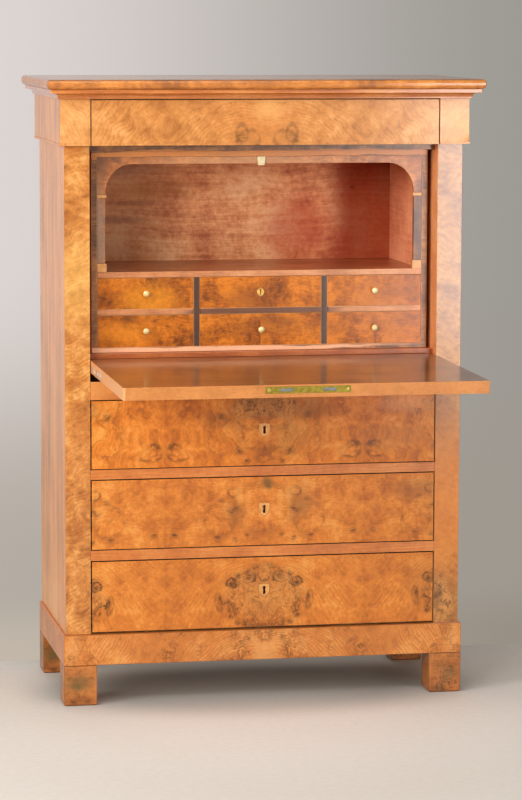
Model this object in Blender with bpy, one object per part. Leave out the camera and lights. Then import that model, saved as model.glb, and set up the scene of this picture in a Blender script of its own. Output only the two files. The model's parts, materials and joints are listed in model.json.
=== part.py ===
# Fall-front secretary: a tall walnut chest with a frieze drawer, a writing flap over a fitted
# interior, and three long drawers on a plinth with block feet.
# Metres, +Z up, the front faces -Y. At rest the flap is open and every drawer is shut.
# Under the root empty, Y = 0 is the face of the pilasters, X = 0 the middle, Z = 0 the floor.

import math

import bmesh
import bpy
from mathutils import Vector

for old in list(bpy.data.objects):
    bpy.data.objects.remove(old, do_unlink=True)

# Clearances
SEAT_GAP = 0.0003  # between pieces that touch
SWING_GAP = 0.00075  # under the flap's tail as it swings
FLAP_SIDE_GAP = 0.0018
FLAP_TOP_GAP = 0.0020
FLAP_STOP_GAP = 0.0050  # behind the closed flap
DRAWER_SIDE_GAP = 0.0027
DRAWER_TOP_GAP = 0.0025
DRAWER_FOOT_GAP = 0.0020  # under a drawer front
LOWEST_FOOT_GAP = 0.0045
SMALL_GAP = 0.0008  # round the small drawers
KNOB_CLEARANCE = 0.0085  # between a knob and the closed flap
SIDE_DROP = 0.006  # a drawer's sides stand lower than its front
OVERRUN = 0.005  # how far a cutter runs past the face it opens
WELD_DISTANCE = 0.00003
SMOOTH_ANGLE = math.radians(40)

# Carcass, from the outside in
BODY_WIDTH = 0.970
BODY_DEPTH = 0.460  # pilaster face to back
SIDE_THICKNESS = 0.024
BACK_THICKNESS = 0.014
BACK_FIELD_DEPTH = 0.005
BACK_STILE_WIDTH = 0.080
PILASTER_WIDTH = 0.061
PILASTER_FACE_THICKNESS = 0.028  # in front of the side panel
PILASTER_DEPTH = 0.110  # the cheek behind that face
GUIDE_HEIGHT = 0.020  # strips that guide a drawer's sides

# Heights, from the floor up
FOOT_HEIGHT = 0.0985
PLINTH_HEIGHT = 0.0740
LOWER_BAY_HEIGHT = 0.1785
LOWER_BOARD_THICKNESS = 0.0250
MIDDLE_BAY_HEIGHT = 0.1719
MIDDLE_BOARD_THICKNESS = 0.0235
UPPER_BAY_HEIGHT = 0.1684
FLAP_RAIL_HEIGHT = 0.0442
FLAP_OPENING_HEIGHT = 0.5620
FRIEZE_HEIGHT = 0.1100
CORNICE_HEIGHT = 0.0226
TOP_THICKNESS = 0.0234

# Plinth and feet
PLINTH_THICKNESS = 0.024
PLINTH_SIDE_STEP = 0.0059
PLINTH_FRONT_STEP = 0.0107
BOTTOM_BOARD_THICKNESS = 0.020
FOOT_WIDTH = 0.080
FOOT_DEPTH = 0.075
FOOT_BEVEL = 0.005
FOOT_BEVEL_STEPS = 2

# Frieze, cornice and top
FRIEZE_SIDE_STEP = 0.0115
FRIEZE_FRONT_STEP = 0.0190
FRIEZE_BACKING = 0.0030  # how far the frieze drawer's front reaches behind the pilaster face
FRIEZE_LIP_HEIGHT = 0.0050
FRIEZE_LIP_STEP = 0.0025
FRIEZE_SHELF_THICKNESS = 0.018
FRIEZE_STOP_HEIGHT = 0.015
CORNICE_REACH = 0.033  # the top's overhang past the frieze
CORNICE_BACKING = 0.025
CORNICE_FOOT_SHARE = 0.17
CORNICE_COVE_SHARE = 0.51
CORNICE_FILLET_SHARE = 0.73
CORNICE_COVE_FOOT_SHARE = 0.155
CORNICE_COVE_TOP_SHARE = 0.60
COVE_STEPS = 5
TOP_NOSE_RADIUS = 0.009
TOP_NOSE_STEPS = 4

# Writing flap
FLAP_THICKNESS = 0.029
FLAP_CHAMFER = 0.003
FLAP_DROOP = math.radians(0.6)  # the open flap hangs a little below level
PIVOT_RISE = 0.036  # pivot above the rail
PIN_RADIUS = 0.004
PIN_SIDES = 24
PIN_REACH = 0.0118
STRAP_LENGTH = 0.205
STRAP_TAIL = 0.012
STRAP_THICKNESS = 0.003
STRAP_INNER_HALF = 0.0048
STRAP_OUTER_HALF = 0.0122
FLAP_RAIL_DEPTH = 0.030
SHELF_THICKNESS = 0.0117

# Flap lock
LOCK_Y = 0.0026  # towards the inner face
LOCK_LENGTH = 0.197
LOCK_WIDTH = 0.0154
LOCK_PLATE_THICKNESS = 0.0025
LOCK_CASE_LENGTH = 0.142
LOCK_CASE_DEPTH = 0.055
LOCK_WALL = 0.002
LOCK_BOLT_SPACING = 0.099
LOCK_BOLT_LENGTH = 0.0300
LOCK_BOLT_THICKNESS = 0.0058
LOCK_BAR_HEIGHT = 0.008
LOCK_KEY_DROP = 0.036  # plate to keyhole
BOLT_TRAVEL = 0.008
BOLT_HEADROOM = 0.001
INLAY_SHY = 0.0002  # let-in metal lies this far below its surface
POCKET_DEPTH = 0.010
POCKET_MARGIN = 0.0022

# Fitted interior
CASE_WALL = 0.014
CASE_SIDE_GAP = 0.0114  # between the case and the cheeks
CASE_BACK_GAP = 0.046
CASE_BACK_THICKNESS = 0.008
CASE_FLOOR_THICKNESS = 0.012
CASE_ROOF_THICKNESS = 0.0147
LOWER_ROW_HEIGHT = 0.0780
DECK_THICKNESS = 0.0135
UPPER_ROW_HEIGHT = 0.0762
CHAMBER_FLOOR_THICKNESS = 0.014
DIVIDER_HALF_SPAN = 0.150  # inner faces of the dividers
DIVIDER_THICKNESS = 0.014
FACE_SETBACK = 0.0015  # drawer fronts and arch behind the case's edge
ARCH_THICKNESS = 0.012
ARCH_LEG_WIDTH = 0.0194
ARCH_CROWN_DROP = 0.017
ARCH_CORNER_WIDTH = 0.064
ARCH_CORNER_HEIGHT = 0.073
ARCH_ARC_STEPS = 9
CAPITAL_HEIGHT = 0.0075
CAPITAL_DEPTH = 0.0045
CAPITAL_OVERHANG = 0.003
CAPITAL_PROUD = 0.0020
BASE_HEIGHT = 0.020
KEYSTONE_TOP_WIDTH = 0.0215
KEYSTONE_FOOT_WIDTH = 0.0150
KEYSTONE_HEIGHT = 0.0210
KEYSTONE_THICKNESS = 0.0045

# Long drawers
FRONT_THICKNESS = 0.022
BOX_BACK_GAP = 0.021
BOX_WALL = 0.012
BOX_FLOOR = 0.010
TAIL_COUNT = 4
TAIL_LENGTH = 0.014
TAIL_MARGIN = 0.004
TAIL_TIP_SHARE = 0.68
TAIL_ROOT_SHARE = 0.46
FRIEZE_BOX_BACK_GAP = 0.046
FRIEZE_BOX_DROP = 0.014
KEY_RISE = 0.005  # keyhole above the middle of the front
SHIELD_WIDTH = 0.026
SHIELD_HEIGHT = 0.034
SHIELD_THICKNESS = 0.0018
SHIELD_PROUD = 0.0002
SHIELD_SHARES = [(0, 0.5), (0.09, 0.43), (0.50, 0.40), (0.50, 0.02), (0.44, -0.17), (0.27, -0.36), (0, -0.5)]
KEYHOLE_RADIUS = 0.0036
KEYHOLE_SLOT = 0.0052
KEYHOLE_FOOT = 0.0068
KEYHOLE_HEIGHT = 0.0195
KEYHOLE_FLARE_SHARE = 0.16
KEYHOLE_STEPS = 8
BOLT_WIDTH = 0.024
BOLT_THICKNESS = 0.0055
BOLT_SETBACK = 0.0095  # mortise behind the front's face
KEY_BIT_REACH = 0.005

# Small drawers
SMALL_BACK_GAP = 0.0107
SMALL_FRONT = 0.010
SMALL_WALL = 0.006
SMALL_FLOOR = 0.004
KNOB_LENGTH = 0.017
KNOB_RADIUS = 0.0092
KNOB_SHARES = [(0.65, 0), (0.65, 0.12), (0.46, 0.24), (0.46, 0.42), (0.86, 0.58)]
KNOB_SHARES += [(1, 0.70), (0.92, 0.83), (0.60, 0.95), (0, 1)]
KNOB_SPIGOT_RADIUS = 0.0027
KNOB_SPIGOT_LENGTH = 0.006
KNOB_SIDES = 20
SMALL_SHIELD_WIDTH = 0.018
SMALL_SHIELD_HEIGHT = 0.021
DIAMOND_SHARES = [(0, 0.5), (0.22, 0.36), (0.50, 0.10), (0.43, -0.14), (0.24, -0.40), (0, -0.5)]
SMALL_KEYHOLE_RADIUS = 0.0019
SMALL_KEYHOLE_SLOT = 0.0026
SMALL_KEYHOLE_FOOT = 0.0034
SMALL_KEYHOLE_HEIGHT = 0.0130

# Places worked out from the sizes
HALF_WIDTH = BODY_WIDTH / 2
INNER_HALF = HALF_WIDTH - PILASTER_WIDTH
LINING_HALF = HALF_WIDTH - SIDE_THICKNESS
BACK_Y = BODY_DEPTH - BACK_THICKNESS
PLINTH_TOP = FOOT_HEIGHT + PLINTH_HEIGHT
LOWER_BOARD_Z = PLINTH_TOP + LOWER_BAY_HEIGHT
MIDDLE_BAY_Z = LOWER_BOARD_Z + LOWER_BOARD_THICKNESS
MIDDLE_BOARD_Z = MIDDLE_BAY_Z + MIDDLE_BAY_HEIGHT
UPPER_BAY_Z = MIDDLE_BOARD_Z + MIDDLE_BOARD_THICKNESS
FLAP_RAIL_Z = UPPER_BAY_Z + UPPER_BAY_HEIGHT
FLAP_OPENING_Z = FLAP_RAIL_Z + FLAP_RAIL_HEIGHT
FRIEZE_Z = FLAP_OPENING_Z + FLAP_OPENING_HEIGHT
CORNICE_Z = FRIEZE_Z + FRIEZE_HEIGHT
TOP_Z = CORNICE_Z + CORNICE_HEIGHT
BOX_BACK_Y = BACK_Y - BOX_BACK_GAP
FRIEZE_BOX_BACK_Y = BACK_Y - FRIEZE_BOX_BACK_GAP
HALF_FLAP = FLAP_THICKNESS / 2
PIVOT_Y = HALF_FLAP
PIVOT_Z = FLAP_OPENING_Z + PIVOT_RISE
FLAP_REACH = FLAP_OPENING_HEIGHT - PIVOT_RISE - FLAP_TOP_GAP
FLAP_TAIL = math.sqrt((PIVOT_RISE - SWING_GAP) ** 2 - (HALF_FLAP - FLAP_CHAMFER) ** 2)
SHELF_FRONT_Y = FLAP_THICKNESS + FLAP_STOP_GAP
SHELF_Z = PIVOT_Z + HALF_FLAP * math.cos(FLAP_DROOP) + FLAP_TAIL * math.sin(FLAP_DROOP) + SEAT_GAP
CASE_FACE_Y = FLAP_THICKNESS + KNOB_LENGTH + KNOB_CLEARANCE
CASE_BACK_Y = BACK_Y - CASE_BACK_GAP
CASE_Z = SHELF_Z + SHELF_THICKNESS + SEAT_GAP
CASE_TOP_Z = FRIEZE_Z - FRIEZE_STOP_HEIGHT - SEAT_GAP
CASE_HALF_WIDTH = INNER_HALF - CASE_SIDE_GAP
CASE_INNER_HALF = CASE_HALF_WIDTH - CASE_WALL
FITTING_HALF = CASE_INNER_HALF - SEAT_GAP
FITTING_Y = CASE_FACE_Y + FACE_SETBACK
FITTING_BACK_Y = CASE_BACK_Y - CASE_BACK_THICKNESS - SEAT_GAP
LOWER_ROW_Z = CASE_Z + CASE_FLOOR_THICKNESS
DECK_Z = LOWER_ROW_Z + LOWER_ROW_HEIGHT
UPPER_ROW_Z = DECK_Z + DECK_THICKNESS
CHAMBER_FLOOR_Z = UPPER_ROW_Z + UPPER_ROW_HEIGHT
CHAMBER_Z = CHAMBER_FLOOR_Z + CHAMBER_FLOOR_THICKNESS
ARCH_TOP_Z = CASE_TOP_Z - CASE_ROOF_THICKNESS - SEAT_GAP
ARCH_OPENING_HALF = FITTING_HALF - ARCH_LEG_WIDTH
CROWN_Z = ARCH_TOP_Z - ARCH_CROWN_DROP
SPRING_Z = CROWN_Z - ARCH_CORNER_HEIGHT
FLAP_FRONT_Y = PIVOT_Y - FLAP_REACH * math.cos(FLAP_DROOP) - HALF_FLAP * math.sin(FLAP_DROOP)
ORIGIN_Y = -(FLAP_FRONT_Y + BODY_DEPTH) / 2  # the origin is the middle of the whole outline


# Finishes: colour, roughness, metallic
def finish(name, colour, roughness, metallic=0.0):
    made = bpy.data.materials.new(name)
    made.use_nodes = True
    shader = made.node_tree.nodes["Principled BSDF"]
    shader.inputs["Base Color"].default_value = (*colour, 1.0)
    shader.inputs["Roughness"].default_value = roughness
    shader.inputs["Metallic"].default_value = metallic
    made.diffuse_color = (*colour, 1.0)
    return made


WALNUT = finish("walnut_veneer", (0.60, 0.25, 0.07), 0.30)
PALE_WALNUT = finish("straight_walnut", (0.62, 0.37, 0.22), 0.32)
DARK_WALNUT = finish("interior_walnut", (0.33, 0.12, 0.045), 0.30)
STAINED = finish("stained_lining", (0.36, 0.085, 0.035), 0.40)
SOFTWOOD = finish("softwood", (0.55, 0.38, 0.20), 0.60)
MAPLE = finish("maple", (0.86, 0.62, 0.30), 0.35)
BONE = finish("bone", (0.88, 0.80, 0.55), 0.30)
BRASS = finish("brass", (0.62, 0.47, 0.14), 0.35, 1.0)
STEEL = finish("steel", (0.42, 0.40, 0.38), 0.40, 1.0)


# Shaping helpers
def empty(name, place, parent=None):
    made = bpy.data.objects.new(name, None)
    bpy.context.collection.objects.link(made)
    made.location = place
    made.parent = parent
    return made


def keep(name, bm, parent, material, place=(0, 0, 0)):
    """Turn a bmesh into a named object; with no material it is a hidden cutter."""
    bmesh.ops.recalc_face_normals(bm, faces=bm.faces)
    mesh = bpy.data.meshes.new(name)
    bm.to_mesh(mesh)
    bm.free()
    made = bpy.data.objects.new(name, mesh)
    bpy.context.collection.objects.link(made)
    made.parent = parent
    made.location = place
    if material:
        mesh.materials.append(material)
    else:
        made.hide_render = True
        made.display_type = "WIRE"
    return made


def block(name, low, high, parent, material=None):
    """A rectangular piece between two corners."""
    low, high = Vector(low), Vector(high)
    bm = bmesh.new()
    bmesh.ops.create_cube(bm, size=1.0)
    bmesh.ops.scale(bm, vec=high - low, verts=bm.verts)
    return keep(name, bm, parent, material, (low + high) / 2)


def lift(axis, u, v, along):
    """Outline point (u, v) at a distance along an axis: X takes (Y, Z), Y (X, Z), Z (X, Y)."""
    return {"X": (along, u, v), "Y": (u, along, v), "Z": (u, v, along)}[axis]


def add_prism(bm, outline, axis, start, end):
    face = bm.faces.new([bm.verts.new(lift(axis, u, v, start)) for u, v in outline])
    grown = bmesh.ops.extrude_face_region(bm, geom=[face])["geom"]
    moved = [item for item in grown if isinstance(item, bmesh.types.BMVert)]
    bmesh.ops.translate(bm, vec=lift(axis, 0, 0, end - start), verts=moved)


def prism(name, outline, axis, start, end, parent, material=None, place=(0, 0, 0)):
    """An outline pushed along an axis."""
    bm = bmesh.new()
    add_prism(bm, outline, axis, start, end)
    return keep(name, bm, parent, material, place)


def rod(name, side, start, end, radius, parent, place=(0, 0, 0)):
    """A round rod along X, on one side of the chest."""
    angles = [math.tau * i / PIN_SIDES for i in range(PIN_SIDES)]
    outline = [(radius * math.cos(a), radius * math.sin(a)) for a in angles]
    return prism(name, outline, "X", *sorted((side * start, side * end)), parent, None, place)


def turned(name, profile, centre, parent, material=None):
    """A profile of (radius, Y) points turned about Y, from one end on the axis to the other."""
    bm = bmesh.new()
    points = [bm.verts.new((radius, y, 0)) for radius, y in profile]
    edges = [bm.edges.new(pair) for pair in zip(points, points[1:])]
    bmesh.ops.spin(
        bm, geom=points + edges, cent=(0, 0, 0), axis=(0, 1, 0), angle=math.tau, steps=KNOB_SIDES
    )
    bmesh.ops.remove_doubles(bm, verts=bm.verts, dist=WELD_DISTANCE)
    made = keep(name, bm, parent, material, centre)
    made.data.shade_smooth()
    made.data.set_sharp_from_angle(angle=SMOOTH_ANGLE)
    return made


def round_over(bm, edges, radius, steps):
    bmesh.ops.bevel(bm, geom=edges, offset=radius, segments=steps, profile=0.5, affect="EDGES")


def boolean(target, tool, operation):
    modifier = target.modifiers.new(operation.lower() + "_" + tool.name, "BOOLEAN")
    modifier.operation = operation
    modifier.solver = "EXACT"
    modifier.object = tool


def cut(target, tool):
    boolean(target, tool, "DIFFERENCE")


def join(target, tool):
    boolean(target, tool, "UNION")


def mirrored(half):
    """Close a right half, listed top to bottom, with its mirror image."""
    return half + [(-u, v) for u, v in reversed(half) if u]


def shield(z, width, height, shares):
    return [(u * width, z + v * height) for u, v in mirrored(shares)]


def keyhole(z, radius, slot, foot, height):
    """A round head over a slot that widens at its foot."""
    head = z + height / 2 - radius
    meet = math.asin(slot / 2 / radius)
    low = z - height / 2
    arc = [i / KEYHOLE_STEPS * (math.pi - meet) for i in range(KEYHOLE_STEPS + 1)]
    half = [(radius * math.sin(a), head + radius * math.cos(a)) for a in arc]
    half += [(slot / 2, low + height * KEYHOLE_FLARE_SHARE), (foot / 2, low)]
    return mirrored(half)


# Frame of the chest
root = empty("secretary", (0, ORIGIN_Y, 0))


def stepped_board(name, front_y, low, high, material):
    """A board between the side panels, notched round both pilasters."""
    corner_y = PILASTER_DEPTH + SEAT_GAP
    half = [
        (INNER_HALF - SEAT_GAP, front_y),
        (INNER_HALF - SEAT_GAP, corner_y),
        (LINING_HALF - SEAT_GAP, corner_y),
        (LINING_HALF - SEAT_GAP, BACK_Y - SEAT_GAP),
    ]
    return prism(name, mirrored(half), "Z", low, high, root, material)


def add_guides(board, top):
    """Two strips on a board, in line with the pilasters' inner faces."""
    for side, name in ((-1, "left"), (1, "right")):
        inner = side * INNER_HALF
        outer = side * (LINING_HALF - OVERRUN)
        low = (min(inner, outer), PILASTER_DEPTH + OVERRUN, top - OVERRUN)
        high = (max(inner, outer), BACK_Y - OVERRUN, top + GUIDE_HEIGHT)
        join(board, block(board.name + "_guide_" + name, low, high, root))


def build_feet():
    outer_x = HALF_WIDTH + PLINTH_SIDE_STEP
    rows = {"front": -PLINTH_FRONT_STEP, "back": BODY_DEPTH - FOOT_DEPTH}
    for row, y in rows.items():
        for side, name in ((-1, "left"), (1, "right")):
            x = side * (outer_x - FOOT_WIDTH / 2)
            low = (x - FOOT_WIDTH / 2, y, 0)
            high = (x + FOOT_WIDTH / 2, y + FOOT_DEPTH, FOOT_HEIGHT - SEAT_GAP)
            foot = block("foot_" + row + "_" + name, low, high, root, WALNUT)
            soften_foot(foot)


def soften_foot(foot):
    """Bevel the four bottom edges."""
    bm = bmesh.new()
    bm.from_mesh(foot.data)
    lowest = min(v.co.z for v in bm.verts)
    edges = [e for e in bm.edges if all(abs(v.co.z - lowest) < SEAT_GAP for v in e.verts)]
    round_over(bm, edges, FOOT_BEVEL, FOOT_BEVEL_STEPS)
    bm.to_mesh(foot.data)
    bm.free()


def build_plinth():
    outer_x = HALF_WIDTH + PLINTH_SIDE_STEP
    inner_x = outer_x - PLINTH_THICKNESS
    front_y = -PLINTH_FRONT_STEP
    half = [
        (outer_x, front_y),
        (outer_x, BODY_DEPTH),
        (inner_x, BODY_DEPTH),
        (inner_x, front_y + PLINTH_THICKNESS),
    ]
    prism("plinth", mirrored(half), "Z", FOOT_HEIGHT, PLINTH_TOP, root, WALNUT)
    inner_y = front_y + PLINTH_THICKNESS + SEAT_GAP
    low = (SEAT_GAP - inner_x, inner_y, PLINTH_TOP - BOTTOM_BOARD_THICKNESS)
    high = (inner_x - SEAT_GAP, BODY_DEPTH, PLINTH_TOP)
    board = block("bottom_board", low, high, root, SOFTWOOD)
    add_guides(board, PLINTH_TOP)


def build_sides():
    for side, name in ((-1, "left"), (1, "right")):
        rebate_x = LINING_HALF + SIDE_THICKNESS / 2
        start_y = PILASTER_FACE_THICKNESS + SEAT_GAP
        outline = [
            (LINING_HALF, start_y),
            (HALF_WIDTH, start_y),
            (HALF_WIDTH, BODY_DEPTH),
            (rebate_x, BODY_DEPTH),
            (rebate_x, BACK_Y),
            (LINING_HALF, BACK_Y),
        ]
        outline = [(side * x, y) for x, y in outline]
        low, high = PLINTH_TOP + SEAT_GAP, TOP_Z - SEAT_GAP
        prism("side_panel_" + name, outline, "Z", low, high, root, PALE_WALNUT)


def build_pilasters():
    for side, name in ((-1, "left"), (1, "right")):
        cheek_x = LINING_HALF - SEAT_GAP
        outline = [
            (INNER_HALF, 0),
            (HALF_WIDTH, 0),
            (HALF_WIDTH, PILASTER_FACE_THICKNESS),
            (cheek_x, PILASTER_FACE_THICKNESS),
            (cheek_x, PILASTER_DEPTH),
            (INNER_HALF, PILASTER_DEPTH),
        ]
        outline = [(side * x, y) for x, y in outline]
        low, high = PLINTH_TOP + SEAT_GAP, FRIEZE_Z - SEAT_GAP
        pilaster = prism("pilaster_" + name, outline, "Z", low, high, root, WALNUT)
        mouth = INNER_HALF - OVERRUN
        bottom = INNER_HALF - FLAP_SIDE_GAP + PIN_REACH + SEAT_GAP
        place = (0, PIVOT_Y, PIVOT_Z)
        cut(pilaster, rod("pivot_socket_" + name, side, mouth, bottom, PIN_RADIUS + SEAT_GAP, root, place))


def build_back():
    half = LINING_HALF + SIDE_THICKNESS / 2 - SEAT_GAP
    low = (-half, BACK_Y + SEAT_GAP, PLINTH_TOP + SEAT_GAP)
    high = (half, BODY_DEPTH, TOP_Z - SEAT_GAP)
    back = block("back_panel", low, high, root, SOFTWOOD)
    middle = (PLINTH_TOP + TOP_Z) / 2
    edges = [PLINTH_TOP + BACK_STILE_WIDTH, middle - BACK_STILE_WIDTH / 2]
    edges += [middle + BACK_STILE_WIDTH / 2, TOP_Z - BACK_STILE_WIDTH]
    for name, z_low, z_high in (("lower", *edges[:2]), ("upper", *edges[2:])):
        field_low = (BACK_STILE_WIDTH - half, BODY_DEPTH - BACK_FIELD_DEPTH, z_low)
        field_high = (half - BACK_STILE_WIDTH, BODY_DEPTH + OVERRUN, z_high)
        cut(back, block("back_field_" + name, field_low, field_high, root))


def bolt_pocket(board, name, x, y, half_length, half_thickness, under):
    """A blind mortise in a board's underside, which a lock bolt shoots into."""
    half_x = half_length + POCKET_MARGIN
    half_y = half_thickness + POCKET_MARGIN
    low = (x - half_x, y - half_y, under - OVERRUN)
    high = (x + half_x, y + half_y, under + POCKET_DEPTH)
    cut(board, block("pocket_" + name, low, high, root))


def drawer_pocket(board, name, under):
    y = BOLT_SETBACK + SEAT_GAP + BOLT_THICKNESS / 2
    bolt_pocket(board, name, 0, y, BOLT_WIDTH / 2, BOLT_THICKNESS / 2, under)


def build_boards():
    lower = stepped_board("lower_board", 0, LOWER_BOARD_Z, MIDDLE_BAY_Z, WALNUT)
    add_guides(lower, MIDDLE_BAY_Z)
    drawer_pocket(lower, "lower", LOWER_BOARD_Z)
    middle = stepped_board("middle_board", 0, MIDDLE_BOARD_Z, UPPER_BAY_Z, WALNUT)
    add_guides(middle, UPPER_BAY_Z)
    drawer_pocket(middle, "middle", MIDDLE_BOARD_Z)
    half = INNER_HALF - SEAT_GAP
    low, high = (-half, 0, FLAP_RAIL_Z), (half, FLAP_RAIL_DEPTH, FLAP_OPENING_Z)
    drawer_pocket(block("flap_rail", low, high, root, WALNUT), "upper", FLAP_RAIL_Z)
    stepped_board("writing_shelf", SHELF_FRONT_Y, SHELF_Z, SHELF_Z + SHELF_THICKNESS, WALNUT)


def build_frieze():
    front_y = FRIEZE_BACKING + SEAT_GAP
    top = FRIEZE_Z + FRIEZE_SHELF_THICKNESS
    shelf = stepped_board("frieze_shelf", front_y, FRIEZE_Z, top, DARK_WALNUT)
    half = INNER_HALF - 2 * SEAT_GAP
    low = (-half, SHELF_FRONT_Y, FRIEZE_Z - FRIEZE_STOP_HEIGHT)
    high = (half, CASE_FACE_Y - SEAT_GAP, FRIEZE_Z + OVERRUN)
    join(shelf, block("flap_top_stop", low, high, root))
    for side, name in ((-1, "left"), (1, "right")):
        x = side * LOCK_BOLT_SPACING / 2
        half_bolt, half_thick = LOCK_BOLT_LENGTH / 2, LOCK_BOLT_THICKNESS / 2
        bolt_pocket(shelf, "flap_" + name, x, PIVOT_Y + LOCK_Y, half_bolt, half_thick, FRIEZE_Z)
        build_frieze_block(side, name)


def build_frieze_block(side, name):
    """The block over a pilaster and the board along the side, which are one veneered piece."""
    outer_x = HALF_WIDTH + FRIEZE_SIDE_STEP
    slot_in, slot_out = LINING_HALF - SEAT_GAP, HALF_WIDTH + SEAT_GAP
    outline = [
        (INNER_HALF, -FRIEZE_FRONT_STEP),
        (outer_x, -FRIEZE_FRONT_STEP),
        (outer_x, BODY_DEPTH),
        (slot_out, BODY_DEPTH),
        (slot_out, PILASTER_FACE_THICKNESS),
        (slot_in, PILASTER_FACE_THICKNESS),
        (slot_in, PILASTER_DEPTH),
        (INNER_HALF, PILASTER_DEPTH),
    ]
    outline = [(side * x, y) for x, y in outline]
    low, high = FRIEZE_Z + SEAT_GAP, CORNICE_Z - SEAT_GAP
    body = prism("frieze_" + name, outline, "Z", low, high, root, WALNUT)
    lip_x = outer_x + FRIEZE_LIP_STEP
    lip_y = -FRIEZE_FRONT_STEP - FRIEZE_LIP_STEP
    hidden_x, hidden_y = outer_x - OVERRUN, OVERRUN - FRIEZE_FRONT_STEP
    lip = [
        (INNER_HALF + SEAT_GAP, lip_y),
        (lip_x, lip_y),
        (lip_x, BODY_DEPTH - SEAT_GAP),
        (hidden_x, BODY_DEPTH - SEAT_GAP),
        (hidden_x, hidden_y),
        (INNER_HALF + SEAT_GAP, hidden_y),
    ]
    lip = [(side * x, y) for x, y in lip]
    join(body, prism("frieze_lip_" + name, lip, "Z", FRIEZE_Z, FRIEZE_Z + FRIEZE_LIP_HEIGHT, root))


def build_cornice():
    """The moulding under the top, mitred at both front corners: foot, cove, then fillet."""
    foot = CORNICE_FOOT_SHARE * CORNICE_REACH
    cove = CORNICE_COVE_SHARE * CORNICE_REACH
    fillet = CORNICE_FILLET_SHARE * CORNICE_REACH
    cove_low = CORNICE_Z + CORNICE_COVE_FOOT_SHARE * CORNICE_HEIGHT
    cove_high = CORNICE_Z + CORNICE_COVE_TOP_SHARE * CORNICE_HEIGHT
    profile = [(foot, CORNICE_Z)]
    for i in range(COVE_STEPS + 1):
        angle = math.pi / 2 * i / COVE_STEPS
        out = cove - (cove - foot) * math.cos(angle)
        profile.append((out, cove_low + (cove_high - cove_low) * math.sin(angle)))
    profile += [(fillet, cove_high), (fillet, TOP_Z - SEAT_GAP)]
    side_x = HALF_WIDTH + FRIEZE_SIDE_STEP
    inner_x, inner_y = HALF_WIDTH + SEAT_GAP, CORNICE_BACKING
    stations = []
    for side, corner in ((-1, False), (-1, True), (1, True), (1, False)):
        ring = [
            (side * (side_x + out), -FRIEZE_FRONT_STEP - out if corner else BODY_DEPTH, z)
            for out, z in profile
        ]
        inner = (side * inner_x, inner_y if corner else BODY_DEPTH)
        ring += [(*inner, TOP_Z - SEAT_GAP), (*inner, CORNICE_Z)]
        stations.append(ring)
    bm = bmesh.new()
    rings = [[bm.verts.new(p) for p in ring] for ring in stations]
    for near, far in zip(rings, rings[1:]):
        for i in range(len(near)):
            j = (i + 1) % len(near)
            bm.faces.new((near[i], near[j], far[j], far[i]))
    bm.faces.new(rings[0])
    bm.faces.new(rings[-1])
    keep("cornice", bm, root, WALNUT)


def build_top():
    half = HALF_WIDTH + FRIEZE_SIDE_STEP + CORNICE_REACH
    low = (-half, -FRIEZE_FRONT_STEP - CORNICE_REACH, TOP_Z)
    top = block("top_board", low, (half, BODY_DEPTH, TOP_Z + TOP_THICKNESS), root, WALNUT)
    bm = bmesh.new()
    bm.from_mesh(top.data)
    back = max(v.co.y for v in bm.verts)
    edges = []
    for edge in bm.edges:
        a, b = (v.co for v in edge.verts)
        level = abs(a.z - b.z) < SEAT_GAP
        if level and min(a.y, b.y) < back - SEAT_GAP:
            edges.append(edge)
    round_over(bm, edges, TOP_NOSE_RADIUS, TOP_NOSE_STEPS)
    bm.to_mesh(top.data)
    bm.free()


# Fitted interior
def build_case():
    low = (-CASE_HALF_WIDTH, CASE_FACE_Y, CASE_Z)
    high = (CASE_HALF_WIDTH, CASE_BACK_Y, CASE_TOP_Z)
    case = block("interior_case", low, high, root, DARK_WALNUT)
    low = (-CASE_INNER_HALF, CASE_FACE_Y - OVERRUN, LOWER_ROW_Z)
    high = (CASE_INNER_HALF, CASE_BACK_Y - CASE_BACK_THICKNESS, CASE_TOP_Z - CASE_ROOF_THICKNESS)
    cut(case, block("case_hollow", low, high, root))


def build_partition():
    """Two dividers halved through a deck, glued up as one."""
    low = (-FITTING_HALF, FITTING_Y, DECK_Z)
    high = (FITTING_HALF, FITTING_BACK_Y, UPPER_ROW_Z)
    deck = block("drawer_partition", low, high, root, DARK_WALNUT)
    front_y = FITTING_Y - SEAT_GAP
    for side, name in ((-1, "left"), (1, "right")):
        near = side * DIVIDER_HALF_SPAN
        far = side * (DIVIDER_HALF_SPAN + DIVIDER_THICKNESS)
        low = (min(near, far), front_y, LOWER_ROW_Z + SEAT_GAP)
        high = (max(near, far), FITTING_BACK_Y - SEAT_GAP, CHAMBER_FLOOR_Z - SEAT_GAP)
        join(deck, block("divider_" + name, low, high, root))
    low = (-FITTING_HALF, CASE_FACE_Y, CHAMBER_FLOOR_Z)
    block("chamber_floor", low, (FITTING_HALF, FITTING_BACK_Y, CHAMBER_Z), root, STAINED)


def arch_outline():
    foot_z = CHAMBER_Z + BASE_HEIGHT + 2 * SEAT_GAP
    half = [(0, ARCH_TOP_Z), (FITTING_HALF, ARCH_TOP_Z), (FITTING_HALF, foot_z)]
    half.append((ARCH_OPENING_HALF, foot_z))
    centre_x = ARCH_OPENING_HALF - ARCH_CORNER_WIDTH
    for i in range(ARCH_ARC_STEPS + 1):
        angle = math.pi / 2 * i / ARCH_ARC_STEPS
        x = centre_x + ARCH_CORNER_WIDTH * math.cos(angle)
        half.append((x, SPRING_Z + ARCH_CORNER_HEIGHT * math.sin(angle)))
    return mirrored(half)


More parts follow.
